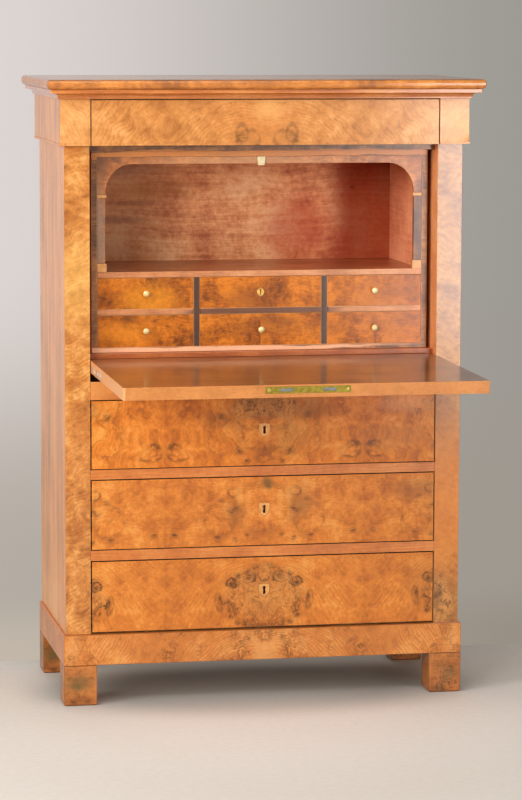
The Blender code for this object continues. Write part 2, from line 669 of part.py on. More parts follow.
def build_arch():
    back_y = FITTING_Y + ARCH_THICKNESS
    arch = prism("arch_panel", arch_outline(), "Y", FITTING_Y, back_y, root, DARK_WALNUT)
    inner_x = ARCH_OPENING_HALF - CAPITAL_OVERHANG
    capital_z = SPRING_Z - CAPITAL_HEIGHT
    for side, name in ((-1, "left"), (1, "right")):
        near, far = sorted((side * inner_x, side * FITTING_HALF))
        low = (near, FITTING_Y - CAPITAL_PROUD, capital_z)
        high = (far, FITTING_Y + CAPITAL_DEPTH, SPRING_Z)
        block("capital_" + name, low, high, root, MAPLE)
        low = (near - OVERRUN, FITTING_Y - OVERRUN, capital_z - SEAT_GAP)
        high = (far + OVERRUN, FITTING_Y + CAPITAL_DEPTH + SEAT_GAP, SPRING_Z + SEAT_GAP)
        cut(arch, block("capital_seat_" + name, low, high, root))
        low = (near, FITTING_Y - CAPITAL_PROUD, CHAMBER_Z + SEAT_GAP)
        high = (far, back_y, CHAMBER_Z + SEAT_GAP + BASE_HEIGHT)
        block("base_" + name, low, high, root, MAPLE)
    top = ARCH_TOP_Z - SEAT_GAP
    half = [(KEYSTONE_TOP_WIDTH / 2, top), (KEYSTONE_FOOT_WIDTH / 2, top - KEYSTONE_HEIGHT)]
    face_y = FITTING_Y - SEAT_GAP
    prism("keystone", mirrored(half), "Y", face_y - KEYSTONE_THICKNESS, face_y, root, BONE)


# Drawers
def tail_rows(side_top):
    """Middle height, root width and tip width of each dovetail on a drawer side."""
    low = BOX_FLOOR + SEAT_GAP + TAIL_MARGIN
    pitch = (side_top - TAIL_MARGIN - low) / TAIL_COUNT
    for i in range(TAIL_COUNT):
        yield low + pitch * (i + 0.5), pitch * TAIL_ROOT_SHARE, pitch * TAIL_TIP_SHARE


def build_drawer_box(level, slide, half, side_top):
    """Sides, back and floor; the sides' dovetails reach forward into the front."""
    root_y = FRONT_THICKNESS + SEAT_GAP
    tip_y = root_y - TAIL_LENGTH
    outline = [(root_y, SEAT_GAP)]
    for z, root_width, tip_width in tail_rows(side_top):
        outline += [(root_y, z - root_width / 2), (tip_y, z - tip_width / 2)]
        outline += [(tip_y, z + tip_width / 2), (root_y, z + root_width / 2)]
    outline += [(root_y, side_top), (BOX_BACK_Y, side_top), (BOX_BACK_Y, SEAT_GAP)]
    box = prism(level + "_drawer_box", outline, "X", -half, half, slide, SOFTWOOD)
    low = (BOX_WALL - half, tip_y - OVERRUN, SEAT_GAP + BOX_FLOOR)
    high = (half - BOX_WALL, BOX_BACK_Y - BOX_WALL, side_top + OVERRUN)
    cut(box, block(level + "_drawer_hollow", low, high, slide))


def tail_sockets(level, slide, half, side_top):
    """The cutter for the dovetail sockets in both ends of a drawer front."""
    bm = bmesh.new()
    tip_y = FRONT_THICKNESS + SEAT_GAP - TAIL_LENGTH - SEAT_GAP
    past_y = FRONT_THICKNESS + OVERRUN
    for z, root_width, tip_width in tail_rows(side_top):
        wide, narrow = tip_width / 2 + SEAT_GAP, root_width / 2 + SEAT_GAP
        outline = [
            (tip_y, z - wide),
            (tip_y, z + wide),
            (FRONT_THICKNESS, z + narrow),
            (past_y, z + narrow),
            (past_y, z - narrow),
            (FRONT_THICKNESS, z - narrow),
        ]
        for side in (-1, 1):
            ends = sorted((side * (half - BOX_WALL - SEAT_GAP), side * (half + OVERRUN)))
            add_prism(bm, outline, "X", *ends)
    return keep(level + "_tail_sockets", bm, slide, None)


def fit_key(front, name, parent, key_z, face_y, end_y, style):
    """Inlay a keyhole plate in a front, cut the keyhole through both, and return its cutter."""
    shares, width, height, hole_sizes, material = style
    plate_back = face_y + SHIELD_THICKNESS
    outline = shield(key_z, width, height, shares)
    plate = prism(name, outline, "Y", face_y - SHIELD_PROUD, plate_back, parent, material)
    wider = shield(key_z, width + 2 * SEAT_GAP, height + 2 * SEAT_GAP, shares)
    cut(front, prism(name + "_seat", wider, "Y", face_y - OVERRUN, plate_back + SEAT_GAP, parent))
    hole = prism(name + "_hole", keyhole(key_z, *hole_sizes), "Y", face_y - OVERRUN, end_y, parent)
    cut(front, hole)
    cut(plate, hole)
    return hole


LARGE_KEYHOLE = (KEYHOLE_RADIUS, KEYHOLE_SLOT, KEYHOLE_FOOT, KEYHOLE_HEIGHT)
LARGE_PLATE = (SHIELD_SHARES, SHIELD_WIDTH, SHIELD_HEIGHT, LARGE_KEYHOLE, MAPLE)
SMALL_KEYHOLE = (SMALL_KEYHOLE_RADIUS, SMALL_KEYHOLE_SLOT, SMALL_KEYHOLE_FOOT, SMALL_KEYHOLE_HEIGHT)
SMALL_PLATE = (DIAMOND_SHARES, SMALL_SHIELD_WIDTH, SMALL_SHIELD_HEIGHT, SMALL_KEYHOLE, BRASS)


def build_long_drawer(level, floor, bay_height, foot_gap):
    slide = empty(level + "_drawer_slide", (0, 0, floor), root)
    half = INNER_HALF - DRAWER_SIDE_GAP
    front_top = bay_height - DRAWER_TOP_GAP
    side_top = front_top - SIDE_DROP
    low, high = (-half, 0, foot_gap), (half, FRONT_THICKNESS, front_top)
    front = block(level + "_drawer_front", low, high, slide, WALNUT)
    cut(front, tail_sockets(level, slide, half, side_top))
    build_drawer_box(level, slide, half, side_top)
    key_z = (foot_gap + front_top) / 2 + KEY_RISE
    mortise_x = BOLT_WIDTH / 2 + SEAT_GAP
    mortise_back = BOLT_SETBACK + BOLT_THICKNESS + 2 * SEAT_GAP
    low = (-mortise_x, BOLT_SETBACK, key_z - KEYHOLE_HEIGHT / 2)
    cut(front, block(level + "_mortise", low, (mortise_x, mortise_back, front_top + OVERRUN), slide))
    fit_key(front, level + "_escutcheon", slide, key_z, 0, BOLT_SETBACK + BOLT_THICKNESS / 2, LARGE_PLATE)
    bolt_low = (-BOLT_WIDTH / 2, BOLT_SETBACK + SEAT_GAP, key_z + KEY_BIT_REACH)
    bolt_high = (BOLT_WIDTH / 2, BOLT_SETBACK + SEAT_GAP + BOLT_THICKNESS, front_top - INLAY_SHY)
    block(level + "_drawer_bolt", bolt_low, bolt_high, slide, STEEL)


def build_frieze_drawer():
    slide = empty("frieze_drawer_slide", (0, 0, FRIEZE_Z), root)
    half = INNER_HALF - DRAWER_SIDE_GAP
    front_y, back_y = -FRIEZE_FRONT_STEP, FRIEZE_BACKING
    front_top = FRIEZE_HEIGHT - DRAWER_TOP_GAP
    body_low = FRIEZE_SHELF_THICKNESS + SEAT_GAP
    body_top = front_top - FRIEZE_BOX_DROP
    outline = [
        (front_y, SEAT_GAP),
        (back_y, SEAT_GAP),
        (back_y, body_low),
        (FRIEZE_BOX_BACK_Y, body_low),
        (FRIEZE_BOX_BACK_Y, body_top),
        (back_y, body_top),
        (back_y, front_top),
        (front_y, front_top),
    ]
    drawer = prism("frieze_drawer", outline, "X", -half, half, slide, WALNUT)
    low = (BOX_WALL - half, back_y, body_low + BOX_FLOOR)
    high = (half - BOX_WALL, FRIEZE_BOX_BACK_Y - BOX_WALL, body_top + OVERRUN)
    cut(drawer, block("frieze_drawer_hollow", low, high, slide))
    low = (SEAT_GAP - half, front_y - FRIEZE_LIP_STEP, 0)
    high = (half - SEAT_GAP, front_y + OVERRUN, FRIEZE_LIP_HEIGHT)
    join(drawer, block("frieze_drawer_lip", low, high, slide))


def build_small_drawer(name, low_x, high_x, floor, height, locked):
    middle_x = (low_x + high_x) / 2
    slide = empty(name + "_slide", (middle_x, FITTING_Y, floor), root)
    half = (high_x - low_x) / 2 - SMALL_GAP
    top = height - SMALL_GAP
    side_top = top - SIDE_DROP
    depth = FITTING_BACK_Y - SMALL_BACK_GAP - FITTING_Y
    outline = [
        (0, SEAT_GAP),
        (depth, SEAT_GAP),
        (depth, side_top),
        (SMALL_FRONT, side_top),
        (SMALL_FRONT, top),
        (0, top),
    ]
    drawer = prism(name, outline, "X", -half, half, slide, DARK_WALNUT)
    low = (SMALL_WALL - half, SMALL_FRONT, SEAT_GAP + SMALL_FLOOR)
    high = (half - SMALL_WALL, depth - SMALL_WALL, top + OVERRUN)
    cut(drawer, block(name + "_hollow", low, high, slide))
    if locked:
        end_y = SMALL_FRONT + OVERRUN
        fit_key(drawer, name + "_escutcheon", slide, height / 2, 0, end_y, SMALL_PLATE)
    else:
        fit_knob(drawer, name, slide, height / 2)


def fit_knob(drawer, name, slide, z):
    """A turned knob whose spigot is glued in the drawer's front."""
    reach = KNOB_LENGTH - SEAT_GAP
    spigot = [(0, KNOB_SPIGOT_LENGTH), (KNOB_SPIGOT_RADIUS, KNOB_SPIGOT_LENGTH)]
    spigot.append((KNOB_SPIGOT_RADIUS, -SEAT_GAP))
    head = [(KNOB_RADIUS * wide, -SEAT_GAP - reach * out) for wide, out in KNOB_SHARES]
    turned(name + "_knob", spigot + head, (0, 0, z), slide, BONE)
    seat_radius = KNOB_SPIGOT_RADIUS + SEAT_GAP
    seat_end = KNOB_SPIGOT_LENGTH + SEAT_GAP
    seat = [(0, -OVERRUN), (seat_radius, -OVERRUN), (seat_radius, seat_end), (0, seat_end)]
    cut(drawer, turned(name + "_knob_seat", seat, (0, 0, z), slide))


def build_small_drawers():
    near, far = DIVIDER_HALF_SPAN, DIVIDER_HALF_SPAN + DIVIDER_THICKNESS
    columns = {
        "left": (-CASE_INNER_HALF, -far),
        "middle": (-near, near),
        "right": (far, CASE_INNER_HALF),
    }
    rows = {"upper": (UPPER_ROW_Z, UPPER_ROW_HEIGHT), "lower": (LOWER_ROW_Z, LOWER_ROW_HEIGHT)}
    for row, (floor, height) in rows.items():
        for column, (low_x, high_x) in columns.items():
            locked = (row, column) == ("upper", "middle")
            name = "small_drawer_" + row + "_" + column
            build_small_drawer(name, low_x, high_x, floor, height, locked)


# Writing flap, drawn shut about its pivot and then swung open
def build_flap():
    pivot = empty("flap_pivot", (0, PIVOT_Y, PIVOT_Z), root)
    half = INNER_HALF - FLAP_SIDE_GAP
    outline = [
        (-HALF_FLAP, FLAP_CHAMFER - FLAP_TAIL),
        (FLAP_CHAMFER - HALF_FLAP, -FLAP_TAIL),
        (HALF_FLAP, -FLAP_TAIL),
        (HALF_FLAP, FLAP_REACH),
        (-HALF_FLAP, FLAP_REACH),
    ]
    panel = prism("flap_panel", outline, "X", -half, half, pivot, WALNUT)
    for side, name in ((-1, "left"), (1, "right")):
        cut(panel, strap(name + "_seat", side, half, pivot, SEAT_GAP))
        hinge = strap("flap_hinge_" + name, side, half, pivot, 0, STEEL)
        start = half - STRAP_THICKNESS / 2
        join(hinge, rod(name + "_pin", side, start, half + PIN_REACH, PIN_RADIUS, pivot))
    build_flap_lock(panel, pivot)
    pivot.rotation_euler = (math.pi / 2 + FLAP_DROOP, 0, 0)


def strap(name, side, half, pivot, grow, material=None):
    """The long leaf of a pivot hinge, let into an end of the flap."""
    deep = side * (half - STRAP_THICKNESS - grow)
    face = side * (half - INLAY_SHY if material else half + OVERRUN)
    low = (min(deep, face), -STRAP_OUTER_HALF - grow, -STRAP_TAIL - grow)
    high = (max(deep, face), STRAP_INNER_HALF + grow, STRAP_LENGTH - STRAP_TAIL + grow)
    return block(name, low, high, pivot, material)


def lock_outline(grow):
    """The lock from the front: an edge plate over a narrower case."""
    top = FLAP_REACH - INLAY_SHY + (OVERRUN if grow else 0)
    under = FLAP_REACH - LOCK_PLATE_THICKNESS - grow
    plate, case = LOCK_LENGTH / 2 + grow, LOCK_CASE_LENGTH / 2 + grow
    low = FLAP_REACH - LOCK_CASE_DEPTH - grow
    return mirrored([(plate, top), (plate, under), (case, under), (case, low)])


def build_flap_lock(panel, pivot):
    low_y, high_y = LOCK_Y - LOCK_WIDTH / 2, LOCK_Y + LOCK_WIDTH / 2
    mortise_y = (low_y - SEAT_GAP, high_y + SEAT_GAP)
    cut(panel, prism("lock_mortise", lock_outline(SEAT_GAP), "Y", *mortise_y, pivot))
    lock = prism("flap_lock", lock_outline(0), "Y", low_y, high_y, pivot, BRASS)
    case_half = LOCK_CASE_LENGTH / 2 - LOCK_WALL
    low = (-case_half, low_y + LOCK_WALL, FLAP_REACH - LOCK_CASE_DEPTH + LOCK_WALL)
    high = (case_half, high_y - LOCK_WALL, FLAP_REACH - LOCK_PLATE_THICKNESS)
    cut(lock, block("lock_hollow", low, high, pivot))
    half_bolt, half_thick = LOCK_BOLT_LENGTH / 2, LOCK_BOLT_THICKNESS / 2
    for side, name in ((-1, "left"), (1, "right")):
        x = side * LOCK_BOLT_SPACING / 2
        reach = half_bolt + SEAT_GAP
        low = (x - reach, LOCK_Y - half_thick - SEAT_GAP, FLAP_REACH - OVERRUN)
        high = (x + reach, LOCK_Y + half_thick + SEAT_GAP, FLAP_REACH + OVERRUN)
        cut(lock, block("bolt_slot_" + name, low, high, pivot))
    bar_top = FLAP_REACH - LOCK_PLATE_THICKNESS - BOLT_TRAVEL - BOLT_HEADROOM
    inner = LOCK_BOLT_SPACING / 2 - half_bolt
    outer = LOCK_BOLT_SPACING / 2 + half_bolt
    tip = FLAP_REACH - INLAY_SHY
    half = [(inner, bar_top), (inner, tip), (outer, tip), (outer, bar_top - LOCK_BAR_HEIGHT)]
    bolt_low, bolt_high = LOCK_Y - half_thick, LOCK_Y + half_thick
    prism("flap_lock_bolts", mirrored(half), "Y", bolt_low, bolt_high, pivot, STEEL)
    key_z = FLAP_REACH - LOCK_PLATE_THICKNESS - LOCK_KEY_DROP
    cut(lock, fit_key(panel, "flap_escutcheon", pivot, key_z, -HALF_FLAP, LOCK_Y, LARGE_PLATE))


build_feet()
build_plinth()
build_sides()
build_pilasters()
build_back()
build_boards()
build_frieze()
build_cornice()
build_top()
build_case()
build_partition()
build_arch()
build_small_drawers()
build_frieze_drawer()
build_long_drawer("lower", PLINTH_TOP, LOWER_BAY_HEIGHT, LOWEST_FOOT_GAP)
build_long_drawer("middle", MIDDLE_BAY_Z, MIDDLE_BAY_HEIGHT, DRAWER_FOOT_GAP)
build_long_drawer("upper", UPPER_BAY_Z, UPPER_BAY_HEIGHT, DRAWER_FOOT_GAP)
build_flap()
bpy.context.view_layer.update()
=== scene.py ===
import json
import math

import bmesh
import bpy
from mathutils import Matrix, Vector

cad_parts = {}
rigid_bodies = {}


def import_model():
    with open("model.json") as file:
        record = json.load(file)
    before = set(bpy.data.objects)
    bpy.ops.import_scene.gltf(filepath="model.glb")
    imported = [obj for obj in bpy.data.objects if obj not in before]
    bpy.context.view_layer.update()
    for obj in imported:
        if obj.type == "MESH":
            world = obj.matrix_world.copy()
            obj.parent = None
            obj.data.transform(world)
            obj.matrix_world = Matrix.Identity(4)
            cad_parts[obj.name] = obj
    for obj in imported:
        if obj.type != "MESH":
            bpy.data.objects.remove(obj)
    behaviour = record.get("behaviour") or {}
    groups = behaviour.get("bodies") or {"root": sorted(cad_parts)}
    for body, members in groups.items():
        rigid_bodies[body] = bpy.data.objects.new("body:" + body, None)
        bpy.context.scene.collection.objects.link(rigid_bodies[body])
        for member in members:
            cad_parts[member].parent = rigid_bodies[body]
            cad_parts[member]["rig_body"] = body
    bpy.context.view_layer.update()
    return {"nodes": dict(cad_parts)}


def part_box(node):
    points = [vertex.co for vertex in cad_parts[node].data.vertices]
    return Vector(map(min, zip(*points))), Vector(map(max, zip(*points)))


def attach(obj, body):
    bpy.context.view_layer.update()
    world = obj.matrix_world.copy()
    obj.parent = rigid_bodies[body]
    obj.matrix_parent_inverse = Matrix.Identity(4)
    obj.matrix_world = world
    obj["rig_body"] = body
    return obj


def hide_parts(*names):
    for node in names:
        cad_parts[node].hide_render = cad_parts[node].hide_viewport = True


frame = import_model()
print("stage 1: frame loaded,", len(frame["nodes"]), "pieces")

# Node kinds that are used often
mathNode, vectorNode = "ShaderNodeMath", "ShaderNodeVectorMath"
noiseNode, rangeNode = "ShaderNodeTexNoise", "ShaderNodeMapRange"
mixNode, mappingNode = "ShaderNodeMix", "ShaderNodeMapping"


# An sRGB hex colour as the linear colour that shaders take
def linear(code):
    channels = [int(code[at : at + 2], 16) / 255 for at in (0, 2, 4)]
    return [c / 12.92 if c <= 0.04045 else ((c + 0.055) / 1.055) ** 2.4 for c in channels] + [1]


# Adds one node with its settings; its inputs are values or sockets to link. Gives back one output
def addNode(tree, kind, inputs=None, out=0, **settings):
    node = tree.nodes.new(kind)
    for key, value in settings.items():
        setattr(node, key, value)
    for key, value in (inputs or {}).items():
        if isinstance(value, bpy.types.NodeSocket):
            tree.links.new(value, node.inputs[key])
        else:
            node.inputs[key].default_value = value
    return node.outputs[out] if node.outputs else node


def newMaterial(name):
    material = bpy.data.materials.new(name)
    material.use_nodes = True
    material.node_tree.nodes.clear()
    return material, material.node_tree


# Lays one colour over another where the mask is 1
def overlay(tree, mask, under, over):
    return addNode(tree, mixNode, {0: mask, 6: under, 7: over}, out=2, data_type="RGBA")


# Puts the finish on a surface: colour and small relief from sockets, gloss as fixed numbers
def polish(tree, colour, relief, look):
    bump = addNode(tree, "ShaderNodeBump", {"Height": relief, "Strength": 1, "Distance": look["relief"]})
    gloss = look["gloss"]
    shader = addNode(
        tree,
        "ShaderNodeBsdfPrincipled",
        {
            "Base Color": colour,
            "Normal": bump,
            "Roughness": gloss["roughness"],
            "Metallic": gloss.get("metallic", 0),
            "IOR": gloss.get("ior", 1.5),
            "Specular IOR Level": gloss.get("specular", 0.5),
            "Coat Weight": gloss.get("coat", 0),
            "Coat Roughness": gloss.get("coatRoughness", 0.2),
            "Coat IOR": 1.5,
        },
    )
    addNode(tree, "ShaderNodeOutputMaterial", {"Surface": shader})


# How the finishes shine: thick shellac, thinner and duller coats, and bare wood
frenchPolish = {"roughness": 0.5, "specular": 0.15, "coat": 1.0, "coatRoughness": 0.15}
dullPolish = {"roughness": 0.5, "specular": 0.2, "coat": 0.7, "coatRoughness": 0.22}
lowPolish = {"roughness": 0.55, "specular": 0.25, "coat": 0.3, "coatRoughness": 0.3}
rawWood = {"roughness": 0.75, "specular": 0.3}


# How far a point lies from an oval, 1 on its rim; x, z and the half axes are in millimetres
def ovalDistance(tree, place, x, z, wide, tall):
    inOval = {0: place, "Location": (-x / wide, 0, -z / tall), "Scale": (1 / wide, 0, 1 / tall)}
    inOval = addNode(tree, mappingNode, inOval)
    return addNode(tree, vectorNode, {0: inOval}, out="Value", operation="LENGTH")


# A mask that is strength below low and 0 above high
def fading(tree, value, low, high, strength=1.0):
    limits = {0: value, 1: low, 2: high, 3: strength, 4: 0}
    return addNode(tree, rangeNode, limits, interpolation_type="SMOOTHSTEP")


# What the woods share unless their own dictionary says otherwise; sizes are in millimetres
woodDefaults = {
    "centre": (0, 0, 0),
    "drift": 2.5,  # how far the figure shifts from one leaf of veneer to the next
    "leafTone": 0.08,  # how much darker every second leaf is
    "mottle": 60,
    "broad": 160,
    "pores": 0.35,
    "stainCore": 0.2,  # share of a stain that is full strength
    "burlStrength": 0.85,
    "burlSize": 34,
    "burlRings": 6,
}
millimetres = 1000
cloudSize, eyeSpacing = 13, 19
poreSize = (7.0, 1.5, 0.7)  # length, depth and width, coarser than real pores so that they show
looseWarp = 30  # marks follow the warps only this far
toneSteps = (0.2, 0.5, 0.9)  # where the light, middle and brown tones meet


# Three sockets, each divided by its own size, as the place of a stretched pattern
def stretched(tree, sockets, sizes):
    shares = [
        addNode(tree, mathNode, {0: socket, 1: size}, operation="DIVIDE")
        for socket, size in zip(sockets, sizes)
    ]
    return addNode(tree, "ShaderNodeCombineXYZ", dict(enumerate(shares)))


# The ripple of figured walnut, in waves across the grain that fade out in calm places
def addRipple(tree, look, tone, flow):
    period, strength = look["ripple"]
    wave = addNode(tree, mathNode, {0: flow["lines"], 1: math.tau / period}, operation="MULTIPLY")
    for layer, bend in (("clouds", 5.0), ("mottle", 14.0)):
        wave = addNode(tree, mathNode, {0: flow[layer], 1: bend, 2: wave}, operation="MULTIPLY_ADD")
    wave = addNode(tree, mathNode, {0: wave}, operation="SINE")
    calm = {0: flow["broad"], 1: 0.42, 2: 0.62, 3: 1.4 * strength, 4: 0.2 * strength}
    calm = addNode(tree, rangeNode, calm)
    return addNode(tree, mathNode, {0: wave, 1: calm, 2: tone}, operation="MULTIPLY_ADD")


# Darker year lines, soft and broken
def layGrowth(tree, look, colour, flow):
    spacing, strength = look["growth"]
    year = addNode(tree, mathNode, {0: flow["lines"], 1: spacing}, operation="DIVIDE")
    for layer, bend in (("mottle", 2.4), ("clouds", 0.25)):
        year = addNode(tree, mathNode, {0: flow[layer], 1: bend, 2: year}, operation="MULTIPLY_ADD")
    year = addNode(tree, mathNode, {0: year, 1: 0.5}, operation="PINGPONG")
    year = fading(tree, year, 0.0, 0.16)
    broken = addNode(tree, rangeNode, {0: flow["mottle"], 1: 0.4, 2: 0.62, 3: 0, 4: strength})
    year = addNode(tree, mathNode, {0: year, 1: broken}, operation="MULTIPLY")
    return overlay(tree, year, colour, flow["dark"])


# Soft patches of another colour, which follow no mirror line
def layStains(tree, look, colour, flow):
    spread = addNode(tree, vectorNode, {0: flow["loose"], 1: flow["start"]}, operation="SUBTRACT")
    spread = addNode(tree, vectorNode, {0: flow["place"], 1: spread}, operation="ADD")
    for code, x, z, wide, tall, strength, *core in look["stains"]:
        solid = core[0] if core else look["stainCore"]
        mask = fading(tree, ovalDistance(tree, spread, x, z, wide, tall), solid, 1.0, strength)
        colour = overlay(tree, mask, colour, linear(code))
    return colour


# Patches of burr with a ragged rim: a mottled ground with dark curls and eyes in it
def layBurls(tree, look, colour, flow):
    loose, clouds = flow["loose"], flow["clouds"]
    nearest = None
    for x, z, wide, tall in look["burls"]:
        near = ovalDistance(tree, loose, x, z, wide, tall)
        if nearest:
            near = addNode(tree, mathNode, {0: nearest, 1: near}, operation="MINIMUM")
        nearest = near
    strength = look["burlStrength"]
    colour = overlay(tree, fading(tree, nearest, 0.7, 1.7, strength * 0.35), colour, flow["brown"])
    ragged = addNode(tree, mathNode, {0: clouds, 1: 2.2, 2: nearest}, operation="MULTIPLY_ADD")
    inside = fading(tree, ragged, 1.7, 2.3, strength)
    knotty = {"Vector": loose, "Scale": 1 / look["burlSize"], "Detail": 3, "Distortion": 1.4}
    knotty = addNode(tree, noiseNode, knotty)
    rings = addNode(tree, mathNode, {0: knotty, 1: look["burlRings"]}, operation="MULTIPLY")
    rings = addNode(tree, mathNode, {0: rings, 1: 0.5}, operation="PINGPONG")
    thin = addNode(tree, rangeNode, {0: clouds, 1: 0.36, 2: 0.5, 3: 0.35, 4: 1})
    curls = addNode(tree, mathNode, {0: fading(tree, rings, 0.02, 0.2), 1: thin}, operation="MULTIPLY")
    cells = {"Vector": loose, "Scale": 1 / eyeSpacing}
    cells = addNode(tree, "ShaderNodeTexVoronoi", cells, out="Distance")
    ragged = addNode(tree, mathNode, {0: clouds, 1: 1.1, 2: cells}, operation="MULTIPLY_ADD")
    eyes = fading(tree, ragged, 0.62, 0.88)
    chosen = addNode(tree, "ShaderNodeSeparateColor", {0: cells.node.outputs["Color"]}, out=0)
    chosen = addNode(tree, rangeNode, {0: chosen, 1: 0.4, 2: 0.6})
    eyes = addNode(tree, mathNode, {0: eyes, 1: chosen}, operation="MULTIPLY")
    marks = addNode(tree, mathNode, {0: curls, 1: eyes}, operation="MAXIMUM")
    patch = addNode(tree, rangeNode, {0: flow["mottle"], 1: 0.4, 2: 0.6})
    pale, deep = [linear(code) for code in look["burlTones"]]
    burr = overlay(tree, marks, overlay(tree, patch, pale, deep), flow["dark"])
    return overlay(tree, inside, colour, burr)


# Single dark curls: ragged rings, broken here and there
def layLoops(tree, look, colour, flow):
    ragged = 1.1
    broken = addNode(tree, rangeNode, {0: flow["mottle"], 1: 0.4, 2: 0.56, 3: 0.25, 4: 1})
    for x, z, wide, tall, rim, strength in look["loops"]:
        near = ovalDistance(tree, flow["loose"], x, z, wide, tall)
        near = addNode(tree, mathNode, {0: flow["clouds"], 1: ragged, 2: near}, operation="MULTIPLY_ADD")
        near = addNode(tree, mathNode, {0: near, 1: 1 + ragged / 2}, operation="SUBTRACT")
        near = addNode(tree, mathNode, {0: near}, operation="ABSOLUTE")
        mask = fading(tree, near, 0.0, 2 * rim / (wide + tall) * 1.8, strength)
        mask = addNode(tree, mathNode, {0: mask, 1: broken}, operation="MULTIPLY")
        colour = overlay(tree, mask, colour, flow["dark"])
    return colour


# Dark eyes with a swirl of grain in them
def layKnots(tree, look, colour, flow):
    swirl = addNode(tree, rangeNode, {0: flow["streaks"], 1: 0.42, 2: 0.56, 3: 0.4, 4: 1})
    for x, z, wide, tall, strength in look["knots"]:
        near = ovalDistance(tree, flow["loose"], x, z, wide, tall)
        near = addNode(tree, mathNode, {0: flow["clouds"], 1: 3.4, 2: near}, operation="MULTIPLY_ADD")
        mask = {0: fading(tree, near, 1.5, 2.9, strength), 1: swirl}
        mask = addNode(tree, mathNode, mask, operation="MULTIPLY")
        colour = overlay(tree, mask, colour, flow["dark"])
    return colour


# In the order in which they are laid over the grain
markLayers = {
    "growth": layGrowth,
    "stains": layStains,
    "burls": layBurls,
    "loops": layLoops,
    "knots": layKnots,
}


